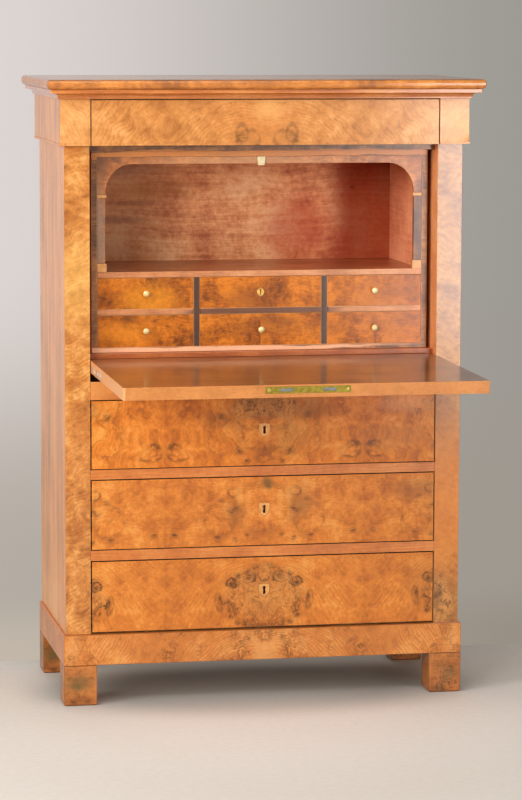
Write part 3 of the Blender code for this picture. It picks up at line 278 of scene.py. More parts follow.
# Wood whose grain runs along X of its own turned axes, in millimetres from its centre.
# leaf mirrors the figure at the seams of book-matched veneer, warps bend it, and heart draws the
# grain round a point. grain is the length and width of a streak; weights are those of streaks,
# mottle, clouds and broad patches. Each mark has its place x, z and its half width and height.
# A stain has its colour before them, and its strength and its solid core after them. A loop ends
# with the width of its line and its strength, and a knot with its strength
def wood(name, look):
    look = woodDefaults | look
    material, tree = newMaterial(name)
    offset = [-at for at in look["centre"]]
    place = addNode(tree, "ShaderNodeTexCoord", out="Object")
    place = addNode(tree, mappingNode, {0: place, "Location": offset, "Scale": [millimetres] * 3})
    if "turn" in look:
        turn = {0: place, "Rotation": [math.radians(angle) for angle in look["turn"]]}
        place = addNode(tree, "ShaderNodeVectorRotate", turn, rotation_type="EULER_XYZ")
    across = addNode(tree, "ShaderNodeSeparateXYZ", {0: place}, out="X")
    deep, up = across.node.outputs["Y"], across.node.outputs["Z"]
    alternate = None
    if "leaf" in look:
        leafCount = addNode(tree, mathNode, {0: across, 1: look["leaf"]}, operation="DIVIDE")
        leafCount = addNode(tree, mathNode, {0: leafCount}, operation="FLOOR")
        drift = {0: leafCount, 1: look["drift"], 2: deep}
        deep = addNode(tree, mathNode, drift, operation="MULTIPLY_ADD")
        alternate = addNode(tree, mathNode, {0: leafCount, 1: 2.0}, operation="FLOORED_MODULO")
        across = addNode(tree, mathNode, {0: across, 1: look["leaf"]}, operation="PINGPONG")
    start = addNode(tree, "ShaderNodeCombineXYZ", {0: across, 1: deep, 2: up})
    bent, loose = start, start
    for size, reach in look["warps"]:
        wander = {"Vector": bent, "Scale": 1 / size, "Detail": 2, "Roughness": 0.5}
        wander = addNode(tree, noiseNode, wander, out="Color")
        shift = addNode(tree, vectorNode, {0: wander, 1: (0.5, 0.5, 0.5)}, operation="SUBTRACT")
        bent = addNode(tree, vectorNode, {0: shift, 1: [reach] * 3, 2: bent}, operation="MULTIPLY_ADD")
        near = {0: shift, 1: [min(reach, looseWarp)] * 3, 2: loose}
        loose = addNode(tree, vectorNode, near, operation="MULTIPLY_ADD")
    along = addNode(tree, "ShaderNodeSeparateXYZ", {0: bent}, out="X")
    through, lines = along.node.outputs["Y"], along.node.outputs["Z"]
    if "heart" in look:
        x, z, share = look["heart"]
        rings = addNode(tree, vectorNode, {0: bent, 1: (x, 0, z)}, out="Value", operation="DISTANCE")
        lines = addNode(tree, mathNode, {0: lines, 1: 1 - share}, operation="MULTIPLY")
        lines = addNode(tree, mathNode, {0: rings, 1: share, 2: lines}, operation="MULTIPLY_ADD")
    length, width = look["grain"]
    grain = stretched(tree, (along, through, lines), (length, width * 3, width))
    streaks = addNode(tree, noiseNode, {"Vector": grain, "Scale": 1, "Detail": 4, "Roughness": 0.6})
    mottle = {"Vector": bent, "Scale": 1 / look["mottle"], "Detail": 3, "Roughness": 0.55}
    mottle = addNode(tree, noiseNode, mottle)
    clouds = {"Vector": loose, "Scale": 1 / cloudSize, "Detail": 5, "Roughness": 0.68}
    clouds = addNode(tree, noiseNode, clouds)
    broad = addNode(tree, noiseNode, {"Vector": start, "Scale": 1 / look["broad"], "Detail": 1})
    light, middle, brown, dark = [linear(code) for code in look["tones"]]
    flow = {"place": place, "start": start, "loose": loose, "lines": lines, "streaks": streaks}
    flow |= {"mottle": mottle, "clouds": clouds, "broad": broad, "brown": brown, "dark": dark}
    tone = 0.5 - sum(look["weights"]) / 2
    for layer, weight in zip((streaks, mottle, clouds, broad), look["weights"]):
        tone = addNode(tree, mathNode, {0: layer, 1: weight, 2: tone}, operation="MULTIPLY_ADD")
    if "ripple" in look:
        tone = addRipple(tree, look, tone, flow)
    if alternate:
        tint = {0: alternate, 1: look["leafTone"], 2: tone}
        tone = addNode(tree, mathNode, tint, operation="MULTIPLY_ADD")
    colour = light
    for at, deeper in enumerate((middle, brown)):
        half = addNode(tree, rangeNode, {0: tone, 1: toneSteps[at], 2: toneSteps[at + 1]})
        colour = overlay(tree, half, colour, deeper)
    for key, layMarks in markLayers.items():
        if key in look:
            colour = layMarks(tree, look, colour, flow)
    pores = stretched(tree, (along, through, lines), poreSize)
    pores = addNode(tree, noiseNode, {"Vector": pores, "Scale": 1, "Detail": 1})
    pores = addNode(tree, rangeNode, {0: pores, 1: 0.6, 2: 0.74})
    faint = addNode(tree, mathNode, {0: pores, 1: look["pores"]}, operation="MULTIPLY")
    colour = overlay(tree, faint, colour, dark)
    worn = addNode(tree, "ShaderNodeAttribute", out="Fac", attribute_name="arris")
    worn = addNode(tree, mathNode, {0: worn, 1: 0.8}, operation="MULTIPLY")
    colour = overlay(tree, worn, colour, linear(look.get("arris", look["tones"][0])))
    relief = addNode(tree, mathNode, {0: pores, 1: -1.0, 2: streaks}, operation="MULTIPLY_ADD")
    polish(tree, colour, relief, look)
    return material


# What the veneers on the outside share: honey walnut, book-matched, under a thin polish
facade = {
    "grain": (30, 3.0),
    "mottle": 40,
    "weights": (0.3, 1.1, 1.0, 0.7),
    "tones": ("E59A48", "D67E2C", "AE5C1E", "4A280C"),
    "burlTones": ("CE8A42", "9A6A30"),
    "warps": ((110, 60), (44, 9)),
    "ripple": (8.5, 0.045),
    "growth": (26, 0.2),
    "leaf": 245,
    "arris": "8A5020",
    "relief": 0.00004,
    "gloss": {"roughness": 0.5, "specular": 0.12, "coat": 0.55, "coatRoughness": 0.15},
}

# What the maple inlays share: close grain in fine, even lines
palewood = {
    "turn": (0, 90, 0),
    "warps": ((60, 6), (12, 1.5)),
    "grain": (30, 1.2),
    "mottle": 20,
    "weights": (0.8, 0.8, 0.6, 0.4),
    "tones": ("E2A866", "D49654", "BA7E42", "70461C"),
    "relief": 0.00003,
    "gloss": dullPolish,
}

# Straight-grained walnut in the solid, planed along the grain and polished: even, faint streaks
plainWalnut = {
    "warps": ((200, 16), (50, 4)),
    "grain": (90, 2.2),
    "mottle": 70,
    "weights": (1.0, 0.9, 0.5, 0.4),
    "tones": ("DC8C42", "CC742E", "A65A22", "5C3214"),
    "relief": 0.00006,
    "gloss": dullPolish,
}

# What the bone shares: fine lines in a warm white
boneStock = {
    "turn": (0, 0, 90),
    "warps": ((20, 3), (6, 0.6)),
    "grain": (12, 0.9),
    "mottle": 9,
    "weights": (0.9, 0.9, 0.5, 0.4),
    "tones": ("FCEEC6", "F2DEAC", "D2B078", "7D5E34"),
    "pores": 0.2,
    "relief": 0.00002,
    "gloss": {"roughness": 0.3, "coat": 0.4, "coatRoughness": 0.12},
}
# Edges round the small drawers and the chamber
lipTones = ("DE9A66", "CE8450", "9C5C34", "3A1E10")

# Figured walnut cut from the root and the fork of the tree, sawn as veneer and book-matched about the
# keyhole, then French polished: honey and brown clouds, fine ripple, dark burr eyes, a soft sheen
finishes = {
    # Upper long drawer: burr above and beside the keyhole, brown clouds further out
    "upperVeneer": wood(
        "walnut_burr_veneer_upper",
        facade
        | {
            "centre": (0, 0, 656),
            "heart": (0, 120, 0.65),
            "tones": ("E99A42", "DA7E24", "B25C16", "4A280C"),
            "weights": (0.5, 1.2, 0.85, 0.8),
            "growth": (22, 0.36),
            "warps": ((90, 60), (40, 10)),
            "stains": [
                ("6C3A08", -10, 66, 110, 40, 0.72),
                ("7E4816", 100, 56, 120, 46, 0.55),
                ("8A5018", -100, 30, 70, 30, 0.4),
                ("9A6426", 60, -20, 130, 60, 0.3),
                ("B8763A", 300, -20, 120, 50, 0.3),
                ("E2985A", 350, 62, 90, 34, 0.5),
            ],
            "burls": [(20, 60, 70, 30), (275, -46, 30, 24)],
            "loops": [
                (213, -48, 24, 21, 4, 0.7),
                (213, -46, 10, 9, 4, 0.45),
                (0, 0, 62, 44, 7, 0.35),
                (34, 20, 26, 18, 6, 0.35),
            ],
            "knots": [(61, -42, 17, 14, 0.95), (46, -70, 12, 9, 0.85), (110, 44, 16, 11, 0.8)],
            "burlStrength": 0.6,
        },
    ),
    # Middle long drawer: calm and pale, with a few dark eyes near its keyhole
    "middleVeneer": wood(
        "walnut_burr_veneer_middle",
        facade
        | {
            "centre": (0, 0, 462),
            "warps": ((120, 60), (44, 10)),
            "ripple": (8.5, 0.03),
            "growth": (40, 0.16),
            "stains": [
                ("74501F", 6, 68, 22, 26, 0.8),
                ("9A581F", 86, 4, 40, 44, 0.55),
                ("9A581F", -74, 0, 30, 34, 0.45),
                ("A2622A", 90, 25, 60, 60, 0.4),
                ("A2622A", -75, -5, 50, 50, 0.3),
                ("945A2A", 380, 45, 90, 40, 0.5),
            ],
            "loops": [
                (72, 48, 14, 12, 4, 0.6),
                (0, 10, 70, 60, 9, 0.22),
                (112, -20, 40, 34, 6, 0.2),
                (385, -10, 26, 40, 4, 0.35),
            ],
            "knots": [
                (73, 2, 18, 11, 0.9),
                (222, -50, 11, 9, 0.95),
                (270, -50, 13, 12, 0.85),
                (108, 27, 12, 9, 0.75),
                (72, -62, 10, 9, 0.8),
                (118, -60, 10, 8, 0.7),
                (44, -56, 8, 7, 0.8),
                (10, 60, 12, 10, 0.6),
            ],
        },
    ),
    # Lower long drawer: a ring of burr round the keyhole, and more at both ends
    "lowerVeneer": wood(
        "walnut_burr_veneer_lower",
        facade
        | {
            "centre": (0, 0, 262),
            "heart": (0, -30, 0.6),
            "warps": ((120, 36), (40, 7)),
            "ripple": (7.5, 0.045),
            "weights": (0.25, 0.8, 0.9, 0.7),
            "growth": (34, 0.14),
            "stains": [("C08A48", 0, -10, 84, 76, 0.3), ("B06A2C", 390, 20, 60, 90, 0.35)],
            "burls": [(0, -4, 84, 74), (412, 0, 26, 66)],
            "burlTones": ("D68C44", "C07C38"),
            "burlRings": 7,
            "loops": [
                (0, -14, 84, 74, 12, 0.34),
                (0, -14, 84, 74, 3.4, 0.9),
                (2, -14, 72, 64, 2.4, 0.5),
                (38, 38, 18, 15, 2.8, 0.9),
                (38, 38, 8, 7, 2.4, 0.8),
                (76, 24, 16, 12, 2.6, 0.85),
                (0, 50, 15, 24, 2.4, 0.65),
                (0, -40, 38, 30, 2.0, 0.4),
                (52, -6, 8, 24, 2.0, 0.5),
                (112, -22, 8, 19, 3.4, 0.45),
                (404, 0, 20, 58, 2.6, 0.6),
                (388, -18, 9, 17, 3.0, 0.4),
                (420, 26, 12, 30, 2.4, 0.6),
            ],
            "knots": [
                (109, -22, 9, 20, 0.95),
                (34, 40, 17, 13, 0.95),
                (22, 62, 13, 9, 0.95),
                (78, 20, 14, 11, 0.9),
                (384, -16, 12, 20, 0.9),
                (84, -52, 11, 10, 0.9),
                (410, 30, 13, 26, 0.8),
                (58, -70, 16, 8, 0.75),
                (62, 44, 12, 10, 0.8),
            ],
            "burlStrength": 0.4,
        },
    ),
    # Frieze: rippled walnut, pale, fanning out over two small knots at the seam
    "friezeVeneer": wood(
        "walnut_fan_veneer",
        facade
        | {
            "centre": (0, 0, 1400),
            "leaf": 430,
            "tones": ("DFA05E", "CE8845", "AE6A30", "5E3813"),
            "heart": (40, -110, 0.75),
            "warps": ((120, 42), (40, 6)),
            "ripple": (8.5, 0.06),
            "growth": (24, 0.22),
            "stains": [
                ("CC7C38", 0, 0, 190, 120, 0.45),
                ("EAAE66", 0, 36, 50, 40, 0.5),
                ("EFB878", 480, 0, 120, 90, 0.4),
                ("EFB070", -480, 0, 120, 90, 0.25),
                ("B9773A", 60, -30, 60, 40, 0.35),
                ("B9773A", -60, -34, 60, 36, 0.3),
            ],
            "loops": [(44, -38, 24, 20, 4, 0.38), (60, -26, 14, 20, 4, 0.45)],
            "knots": [(56, -32, 20, 16, 0.65), (24, -48, 12, 9, 0.6), (70, -44, 10, 9, 0.5)],
        },
    ),
    # Plinth: walnut from a fork of the tree, soft arches under a fine ripple
    "plinthVeneer": wood(
        "walnut_crotch_veneer_plinth",
        facade
        | {
            "centre": (0, 0, 136),
            "leaf": 451,
            "heart": (20, -130, 0.85),
            "tones": ("DE9850", "CC7A36", "AC6228", "5C3412"),
            "warps": ((90, 30), (40, 5)),
            "weights": (0.4, 0.7, 0.6, 0.9),
            "ripple": (7.0, 0.06),
            "growth": (34, 0.2),
            "loops": [
                (0, -110, 78, 140, 6.0, 0.6),
                (150, 90, 125, 170, 7.0, 0.5),
                (330, 90, 122, 190, 7.0, 0.55),
                (0, -110, 116, 160, 5.0, 0.35),
                (130, 120, 60, 170, 7.0, 0.35),
            ],
            "stains": [
                ("E8A862", 0, -30, 46, 60, 0.5),
                ("E8A862", -468, 0, 26, 60, 0.35),
                ("E8A862", 468, 0, 26, 60, 0.35),
            ],
            "leafTone": 0.0,
        },
    ),
    # Left pilaster: mottled walnut, golden, with a slanting ripple
    "leftPilasterVeneer": wood(
        "walnut_mottled_veneer_left",
        facade
        | {
            "centre": (-455, 0, 760),
            "turn": (0, 24, 0),
            "leaf": 900,
            "tones": ("DFA45C", "CC8440", "A86228", "5A3311"),
            "warps": ((110, 70), (44, 12)),
            "ripple": (10.0, 0.06),
            "weights": (0.45, 1.4, 1.2, 0.5),
            "growth": (26, 0.3),
            "stains": [
                ("B96A28", 0, -300, 120, 300, 0.5),
                ("EBB560", 80, 250, 160, 140, 0.4),
                ("D07C30", 230, 540, 70, 40, 0.5),
            ],
            "burls": [(-190, -500, 70, 60)],
            "knots": [(186, 497, 15, 13, 0.9), (-170, -440, 9, 9, 0.7), (-215, -480, 8, 8, 0.8)],
            "burlStrength": 0.6,
        },
    ),
    # Right pilaster: the same, redder and brighter low down, partly its own colour and partly painted light
    # where the open flap shades it; under a thicker French polish
    "rightPilasterVeneer": wood(
        "walnut_mottled_veneer_right",
        facade
        | {
            "centre": (455, 0, 760),
            "turn": (0, -26, 0),
            "leaf": 900,
            "tones": ("CE8C40", "BA762C", "8E4E14", "4E2C10"),
            "weights": (0.5, 0.9, 1.1, 0.6),
            "warps": ((110, 70), (44, 12)),
            "ripple": (10.0, 0.05),
            "growth": (26, 0.25),
            # the first stain is partly painted light: brighter orange low down, where the flap shades the
            # pilaster
            "stains": [("EC8420", 120, -260, 240, 340, 0.5), ("74401C", -170, -250, 60, 70, 0.45)],
            "burls": [(200, -490, 70, 60)],
            "loops": [(196, -466, 16, 14, 2.4, 0.7)],
            "knots": [(200, -425, 10, 10, 0.85), (226, -505, 9, 9, 0.85), (180, -480, 9, 8, 0.8)],
            "burlStrength": 0.7,
            "gloss": frenchPolish,
        },
    ),
    # Feet: dark burr with grey-green patches
    "footVeneer": wood(
        "walnut_burr_veneer_feet",
        facade
        | {
            "centre": (-451, 0, 40),
            "leaf": 5000,
            "tones": ("CC7E3C", "AE6830", "824820", "3C220D"),
            "warps": ((60, 46), (24, 14)),
            "growth": (16, 0.3),
            "stains": [
                ("7A5A2E", -8, 14, 60, 34, 0.75),
                ("5E5230", -14, 4, 24, 16, 0.5),
                ("75643A", 900, 4, 36, 40, 0.4),
            ],
            "burls": [(900, -14, 34, 40)],
            "burlTones": ("BC6E38", "8A6438"),
            "knots": [
                (-26, -22, 8, 7, 0.6),
                (20, -28, 9, 7, 0.7),
                (918, 20, 8, 12, 0.7),
                (24, 30, 6, 6, 0.6),
            ],
            "burlStrength": 0.6,
        },
    ),
    # Edge of the top board: striped walnut, orange-brown and shiny
    "topVeneer": wood(
        "walnut_striped_veneer_top",
        facade
        | {
            "centre": (0, 0, 1490),
            "leaf": 700,
            "grain": (120, 5),
            "tones": ("E0964A", "CF7E38", "9E5E2C", "4E3620"),
            "warps": ((150, 40), (40, 10)),
            "gloss": {"roughness": 0.5, "specular": 0.15, "coat": 0.65, "coatRoughness": 0.12},
        },
    ),
    # Upper face of the top board: the same walnut, darker, with a clear shine
    "topFaceVeneer": wood(
        "walnut_striped_veneer_top_face",
        facade
        | {
            "centre": (0, 0, 1490),
            "turn": (90, 0, 0),
            "grain": (120, 5),
            "tones": ("BC7A40", "A4642F", "7C4A26", "4E3620"),
            "warps": ((150, 40), (40, 10)),
            "gloss": {"roughness": 0.5, "specular": 0.2, "coat": 0.85, "coatRoughness": 0.12},
        },
    ),
    # Outer face of the flap: burr like the drawers', book-matched down the middle
    "flapVeneer": wood(
        "walnut_burr_veneer_flap",
        facade
        | {
            "centre": (0, -200, 800),
            "turn": (90, 0, 0),
            "warps": ((120, 60), (34, 16)),
            "burls": [(30, 60, 60, 90), (60, -120, 40, 50)],
            "loops": [(0, 60, 80, 110, 6, 0.6), (0, -110, 60, 60, 5, 0.5)],
            "knots": [(112, 30, 9, 18, 0.9), (36, 110, 14, 12, 0.9)],
            "burlStrength": 0.6,
        },
    ),
    # Straight-grained walnut, quarter sawn and polished: even stripes with grey-olive lines
    "sideWalnut": wood(
        "walnut_straight_grain_side",
        {
            "turn": (90, 0, 90),
            "warps": ((420, 60), (90, 7)),
            "grain": (420, 26),
            "mottle": 150,
            "weights": (1.2, 0.5, 0.3, 0.5),
            "tones": ("F4AE6E", "E6965A", "A67C56", "5A4A3A"),
            "relief": 0.00006,
            "gloss": {"roughness": 0.5, "specular": 0.12, "coat": 0.62, "coatRoughness": 0.2},
        },
    ),
    # Rails and edges: walnut in the solid, even orange-brown with a low sheen
    "edgeWalnut": wood(
        "walnut_straight_grain_rail",
        plainWalnut | {"stains": [("EAA052", -430, 775, 110, 60, 0.55)]},
    ),
    # Writing shelf: the same walnut, darker and redder
    "shelfWalnut": wood(
        "walnut_shelf_lipping", plainWalnut | {"tones": ("C06C30", "A85424", "7E3C18", "3E1E0C")}
    ),
    # Lipping round the flap: paler and finer, with open pores and little shine
    "flapEdge": wood(
        "walnut_flap_lipping",
        plainWalnut
        | {
            "grain": (46, 1.8),
            "weights": (0.5, 0.7, 0.5, 0.3),
            "tones": ("D68C48", "C67C3C", "A6642C", "6A3C18"),
            "stains": [("F2AC70", -426, 817, 9, 90, 0.8, 0.5)],
            "pores": 0.6,
            "gloss": lowPolish,
        },
    ),
    # Cheek of the right pilaster: the same walnut in a pale, pinkish copy, as painted light on this shaded
    # side
    "litCheekWalnut": wood(
        "walnut_pilaster_cheek_painted_light", plainWalnut | {"tones": ("FFB97A", "FAA264", "D27E44", "5C3214")}
    ),
    # Cornice: a walnut moulding, long even streaks under a clear shine
    "corniceWalnut": wood(
        "walnut_moulding",
        {
            "warps": ((240, 14), (60, 4)),
            "grain": (160, 3),
            "mottle": 120,
            "weights": (1.2, 0.8, 0.4, 0.4),
            "tones": ("D88C48", "C67234", "9C5424", "5C3014"),
            "relief": 0.00006,
            "gloss": frenchPolish,
        },
    ),
    # The flap's writing side: plain walnut, dark from use and old varnish
    "writingWalnut": wood(
        "walnut_writing_surface",
        {
            "turn": (90, 0, 0),
            "warps": ((260, 40), (70, 8)),
            "grain": (130, 5),
            "mottle": 90,
            "weights": (1.5, 1.6, 1.4, 0.8),
            "tones": ("99602E", "834C22", "653819", "3A1E0D"),
            "stains": [
                ("A86030", -330, 0, 190, 4000, 0.45),
                ("5E4438", 360, 0, 200, 4000, 0.45),
                ("63391C", -10, 0, 180, 4000, 0.45),
            ],
            "relief": 0.00004,
            "gloss": {"roughness": 0.38, "coat": 0.7, "coatRoughness": 0.14},
        },
    ),
    # Mahogany-stained lining of the interior, varnished: red-brown, long horizontal grain, with a painted
    # shadow over the right part of the chamber's back
    "lining": wood(
        "stained_lining",
        {
            "centre": (0, 0, 1150),
            "warps": ((260, 46), (60, 8)),
            "grain": (210, 8),
            "mottle": 110,
            "weights": (0.8, 1.4, 1.0, 0.6),
            "tones": ("FCC48E", "EA9E66", "B4603A", "5A2110"),
            "stains": [
                ("BA3E1E", 160, -30, 130, 130, 0.65),
                ("9C6A40", -330, 0, 260, 300, 0.5),
                ("6A3A34", -300, 130, 200, 50, 0.5),
                ("A8682E", -210, 70, 160, 46, 0.5),
                ("6E2E2A", -320, -10, 130, 16, 0.5),
                ("6E2E2A", -260, 34, 90, 9, 0.35),
                ("B03A24", 90, -150, 200, 26, 0.5),
                # painted shadow: dark red over the right part of the chamber's back, with a sharp edge
                ("A03415", 440, 0, 226, 1400, 0.85, 0.7),
            ],
            "knots": [(300, 65, 7, 7, 0.9)],
            "relief": 0.00006,
            "gloss": {"roughness": 0.6, "specular": 0.15, "coat": 0.12, "coatRoughness": 0.35},
        },
    ),
    # Right wall of the chamber: the same lining in a paler, pinkish copy, as painted light from the lamps at
    # the left
    "litWallLining": wood(
        "stained_lining_wall_painted_light",
        {
            "turn": (0, 0, 90),
            "warps": ((200, 30), (60, 8)),
            "grain": (140, 6),
            "mottle": 90,
            "weights": (0.8, 1.0, 0.6, 0.6),
            "tones": ("FFB686", "F29A6E", "CE704C", "5A2110"),
            "relief": 0.00006,
            "gloss": lowPolish,
        },
    ),
    # Floor of the chamber: the lining again, browner and shinier
    "floorLining": wood(
        "stained_lining_floor",
        {
            "warps": ((260, 40), (60, 8)),
            "grain": (150, 6),
            "mottle": 100,
            "weights": (0.8, 1.0, 0.6, 0.6),
            "tones": ("BA6E40", "A05830", "743C20", "3E1A0C"),
            "relief": 0.00006,
            "gloss": dullPolish,
        },
    ),
    # Arched panel: cloudy walnut, dark down one leg and grey down the other
    "archVeneer": wood(
        "walnut_cloudy_veneer_arch",
        facade
        | {
            "centre": (0, 0, 1200),
            "leaf": 400,
            "tones": ("DC9052", "BF7138", "85502C", "3C2417"),
            "warps": ((70, 40), (24, 10)),
            "weights": (0.8, 1.2, 0.9, 0.4),
            "stains": [
                ("43302A", 420, -60, 70, 190, 0.85, 0.5),
                ("8C7864", -420, -60, 60, 160, 0.75, 0.5),
                ("E0A26C", -60, 105, 340, 26, 0.55),
                ("74503A", -390, 90, 26, 60, 0.6),
                ("5E4438", -350, 108, 22, 12, 0.6),
            ],
            "gloss": dullPolish,
        },
    ),
    # Edges of the interior case: dark walnut, lighter along its roof and its floor
    "caseWalnut": wood(
        "walnut_dark_case_edges",
        {
            "warps": ((160, 20), (50, 5)),
            "grain": (90, 2.5),
            "mottle": 60,
            "weights": (1.2, 1.6, 0.9, 0.4),
            "tones": ("B0743E", "865632", "5A3A22", "2A1A10"),
            "stains": [
                ("E08C42", -150, 1322, 1100, 10, 0.8, 0.7),
                ("FFBC90", -250, 853, 700, 9, 0.85, 0.6),
            ],
            "relief": 0.00005,
            "gloss": dullPolish,
        },
    ),
    # Top edges of the long fronts: walnut painted dark brown, as painted shade in the gap above each drawer
    "gapShadeTopWalnut": wood(
        "walnut_top_edges_painted_shade", plainWalnut | {"tones": ("6A4224", "54321A", "3A2210", "1C110A")}
    ),
    # Walnut painted near black as painted shade: inside keyholes and on the sides of the drawer fronts and
    # rails, in the gaps
    "gapShadeWalnut": wood(
        "walnut_painted_gap_shade",
        {
            "warps": ((60, 8), (20, 3)),
            "grain": (40, 2.5),
            "mottle": 30,
            "weights": (0.8, 0.8, 0.6, 0.4),
            "tones": ("3A2416", "2A1A10", "1C110A", "120A06"),
            "relief": 0.00008,
            "gloss": rawWood,
        },
    ),
    # Lip of the chamber's floor: walnut, pinkish brown
    "lipWalnut": wood("walnut_chamber_lip", plainWalnut | {"tones": lipTones}),
    # Edges between the small drawers: the same, nearly black on the uprights
    "partitionWalnut": wood(
        "walnut_dividers",
        plainWalnut
        | {
            "tones": lipTones,
            "stains": [
                ("2E1507", -157, 940, 11, 600, 0.92, 0.8),
                ("2E1507", 157, 940, 11, 600, 0.92, 0.8),
                ("542C1A", 0, 943, 220, 14, 0.85, 0.7),
            ],
            "arris": "C48A56",
        },
    ),
    # Small drawers: cloudy walnut, deep orange and brown, with a thin polish
    "smallFronts": wood(
        "walnut_cloudy_veneer_small_drawers",
        facade
        | {
            "centre": (0, 0, 942),
            "leaf": 281,
            "drift": 60,
            "leafTone": 0.0,
            "tones": ("DC7E1E", "BE6614", "7A3E10", "3C1E08"),
            "mottle": 60,
            "warps": ((80, 40), (24, 9)),
            "weights": (0.6, 1.5, 1.5, 0.6),
            "stains": [
                ("7A3E16", -20, 30, 100, 46, 0.55),
                ("6E3A18", 40, -20, 70, 20, 0.4),
                ("B46A38", 330, 0, 180, 120, 0.4),
                ("EA9420", -270, 30, 100, 60, 0.5),
                ("EA8E24", -330, -50, 110, 40, 0.5),
                ("8A4814", -300, -8, 70, 16, 0.25),
                ("7A3E12", 10, -34, 150, 34, 0.4),
                ("6E3814", 390, 40, 60, 40, 0.4),
            ],
            "arris": "D99A62",
            "gloss": {"roughness": 0.5, "specular": 0.12, "coat": 0.5, "coatRoughness": 0.18},
        },
    ),
    # Pine: pale yellow boards, left from the plane
    "softwood": wood(
        "pine_planed",
        {
            "turn": (0, 90, 0),
            "warps": ((400, 46), (90, 10)),
            "grain": (260, 6),
            "mottle": 150,
            "weights": (1.5, 0.7, 0.4, 0.4),
            "tones": ("EFCB9A", "E2B07A", "C08852", "6A4A2A"),
            "relief": 0.0001,
            "gloss": rawWood,
        },
    ),
    # Drawer boxes: pine with its grain from front to back, pale and dry
    "boxWood": wood(
        "pine_drawer_boxes",
        {
            "turn": (0, 0, 90),
            "warps": ((300, 30), (80, 8)),
            "grain": (220, 5),
            "mottle": 120,
            "weights": (1.4, 0.7, 0.4, 0.4),
            "tones": ("E4BE8E", "D3A36E", "B07E4C", "6A4A2A"),
            "relief": 0.0001,
            "gloss": rawWood,
        },
    ),
    # Maple: dense and even, gone honey-coloured, for the small inlays
    "maple": wood("maple_inlay", palewood),
    # Keyhole shields: maple, deeper in colour; black painted round each keyhole as painted shade, widening
    # the dark of the hole
    "shield": wood(
        "maple_keyhole_shield",
        palewood
        | {
            "tones": ("EEB068", "E09C50", "C27C38", "70461C"),
            "stains": [
                # painted shade: black round the top and the foot of each keyhole
                ("100804", z + rise, 0, long, wide, 1.0, 0.8)
                for z in (660, 467, 268)
                for rise, long, wide in ((5.2, 3.7, 3.7), (-5.4, 4.2, 3.2))
            ],
        },
    ),
    # Keystone: bone, rubbed bright, warm white with fine lines
    "bone": wood("bone_inlay", boneStock),
    # Turned knobs: bone yellowed by hands, with a small bright glint
    "knobBone": wood(
        "turned_bone",
        boneStock
        | {
            "tones": ("FBEBB8", "E8CE88", "BE9A4C", "7D5E34"),
            "gloss": {"roughness": 0.22, "specular": 0.8, "coat": 1.0, "coatRoughness": 0.06},
        },
    ),
}


# Rubbed metal: stains in soft clouds, and scratches along X, drawn coarse enough to show
def metal(name, look):
    material, tree = newMaterial(name)
    place = addNode(tree, "ShaderNodeTexCoord", out="Object")
    clouds = {"Vector": place, "Scale": millimetres / look["stain"], "Detail": 5}
    clouds = addNode(tree, noiseNode, clouds)
    scratches = addNode(tree, mappingNode, {0: place, "Scale": (40, 900, 900)})
    scratches = addNode(tree, noiseNode, {"Vector": scratches, "Scale": 1.5, "Detail": 3})
    bright, mid, stained = [linear(code) for code in look["tones"]]
    mask = addNode(tree, rangeNode, {0: clouds, 1: 0.4, 2: 0.62})
    colour = overlay(tree, mask, mid, stained)
    mask = addNode(tree, rangeNode, {0: scratches, 1: 0.56, 2: 0.72, 3: 0, 4: 0.7})
    colour = overlay(tree, mask, colour, bright)
    worn = addNode(tree, "ShaderNodeAttribute", out="Fac", attribute_name="arris")
    colour = overlay(tree, worn, colour, bright)
    polish(tree, colour, scratches, look)
    return material


finishes |= {
    # Brass, cast and filed, dulled by handling: olive yellow
    "brass": metal(
        "brass_aged",
        {
            "stain": 9,
            "tones": ("A89644", "8E7C2E", "766622"),
            "relief": 0.00003,
            "gloss": {"roughness": 0.42, "metallic": 0.85},
        },
    ),
    # Keyhole plate of the small drawer: sheet brass, light and yellow
    "keyBrass": metal(
        "brass_keyhole_plate",
        {
            "stain": 6,
            "tones": ("F6D280", "E2AE58", "B98638"),
            "relief": 0.00002,
            "gloss": {"roughness": 0.42, "metallic": 0.5},
        },
    ),
    # Screws of the lock plate: turned brass, paler than the plate
    "brassScrew": metal(
        "brass_screw_heads",
        {
            "stain": 3,
            "tones": ("E8CF86", "C4A75C", "8A7032"),
            "relief": 0.00002,
            "gloss": {"roughness": 0.4, "metallic": 0.85},
        },
    ),
    # Screws of the pivot straps: turned steel, worn nearly white
    "steelScrew": metal(
        "steel_screw_heads",
        {
            "stain": 3,
            "tones": ("FFFDF8", "F2EFEA", "CFC8BE"),
            "relief": 0.00002,
            "gloss": {"roughness": 0.35, "metallic": 0.25},
        },
    ),
    # Bolts of the long drawers: steel, filed bright long ago, grey-blue with brown spots
    "steel": metal(
        "steel_worn",
        {
            "stain": 7,
            "tones": ("C9CCD0", "8B8C90", "5F564E"),
            "relief": 0.00004,
            "gloss": {"roughness": 0.4, "metallic": 0.9},
        },
    ),
    # Bolts of the flap: steel gone blue-grey, smooth from sliding
    "boltSteel": metal(
        "steel_lock_bolts",
        {
            "stain": 14,
            "tones": ("8E9298", "7E8286", "747472"),
            "relief": 0.00001,
            "gloss": {"roughness": 0.55, "metallic": 0.7},
        },
    ),
    # Pivot straps: filed bright and rubbed by the wood beside them
    "strapSteel": metal(
        "steel_pivot_straps",
        {
            "stain": 40,
            "tones": ("EAD4BC", "DDBC9C", "C8A488"),
            "relief": 0.00001,
            "gloss": {"roughness": 0.45, "metallic": 0.55},
        },
    ),
}
print("stage 2: finishes made,", len(finishes))

# How a CAD mesh becomes a dressed piece; lengths in metres, angles in degrees
easing = {
    "merge": 1e-5,
    "flat": 0.4,  # faces that meet under this angle are joined
    "arris": 35,  # convex edges over this angle are rounded
    "sharp": 42,  # shading breaks at edges over this angle
    "rim": 0.016,  # faces further inside their piece than this are "inner" ones
    "knobGirth": 0.87,  # of the solid knobs, to meet the photograph's
}


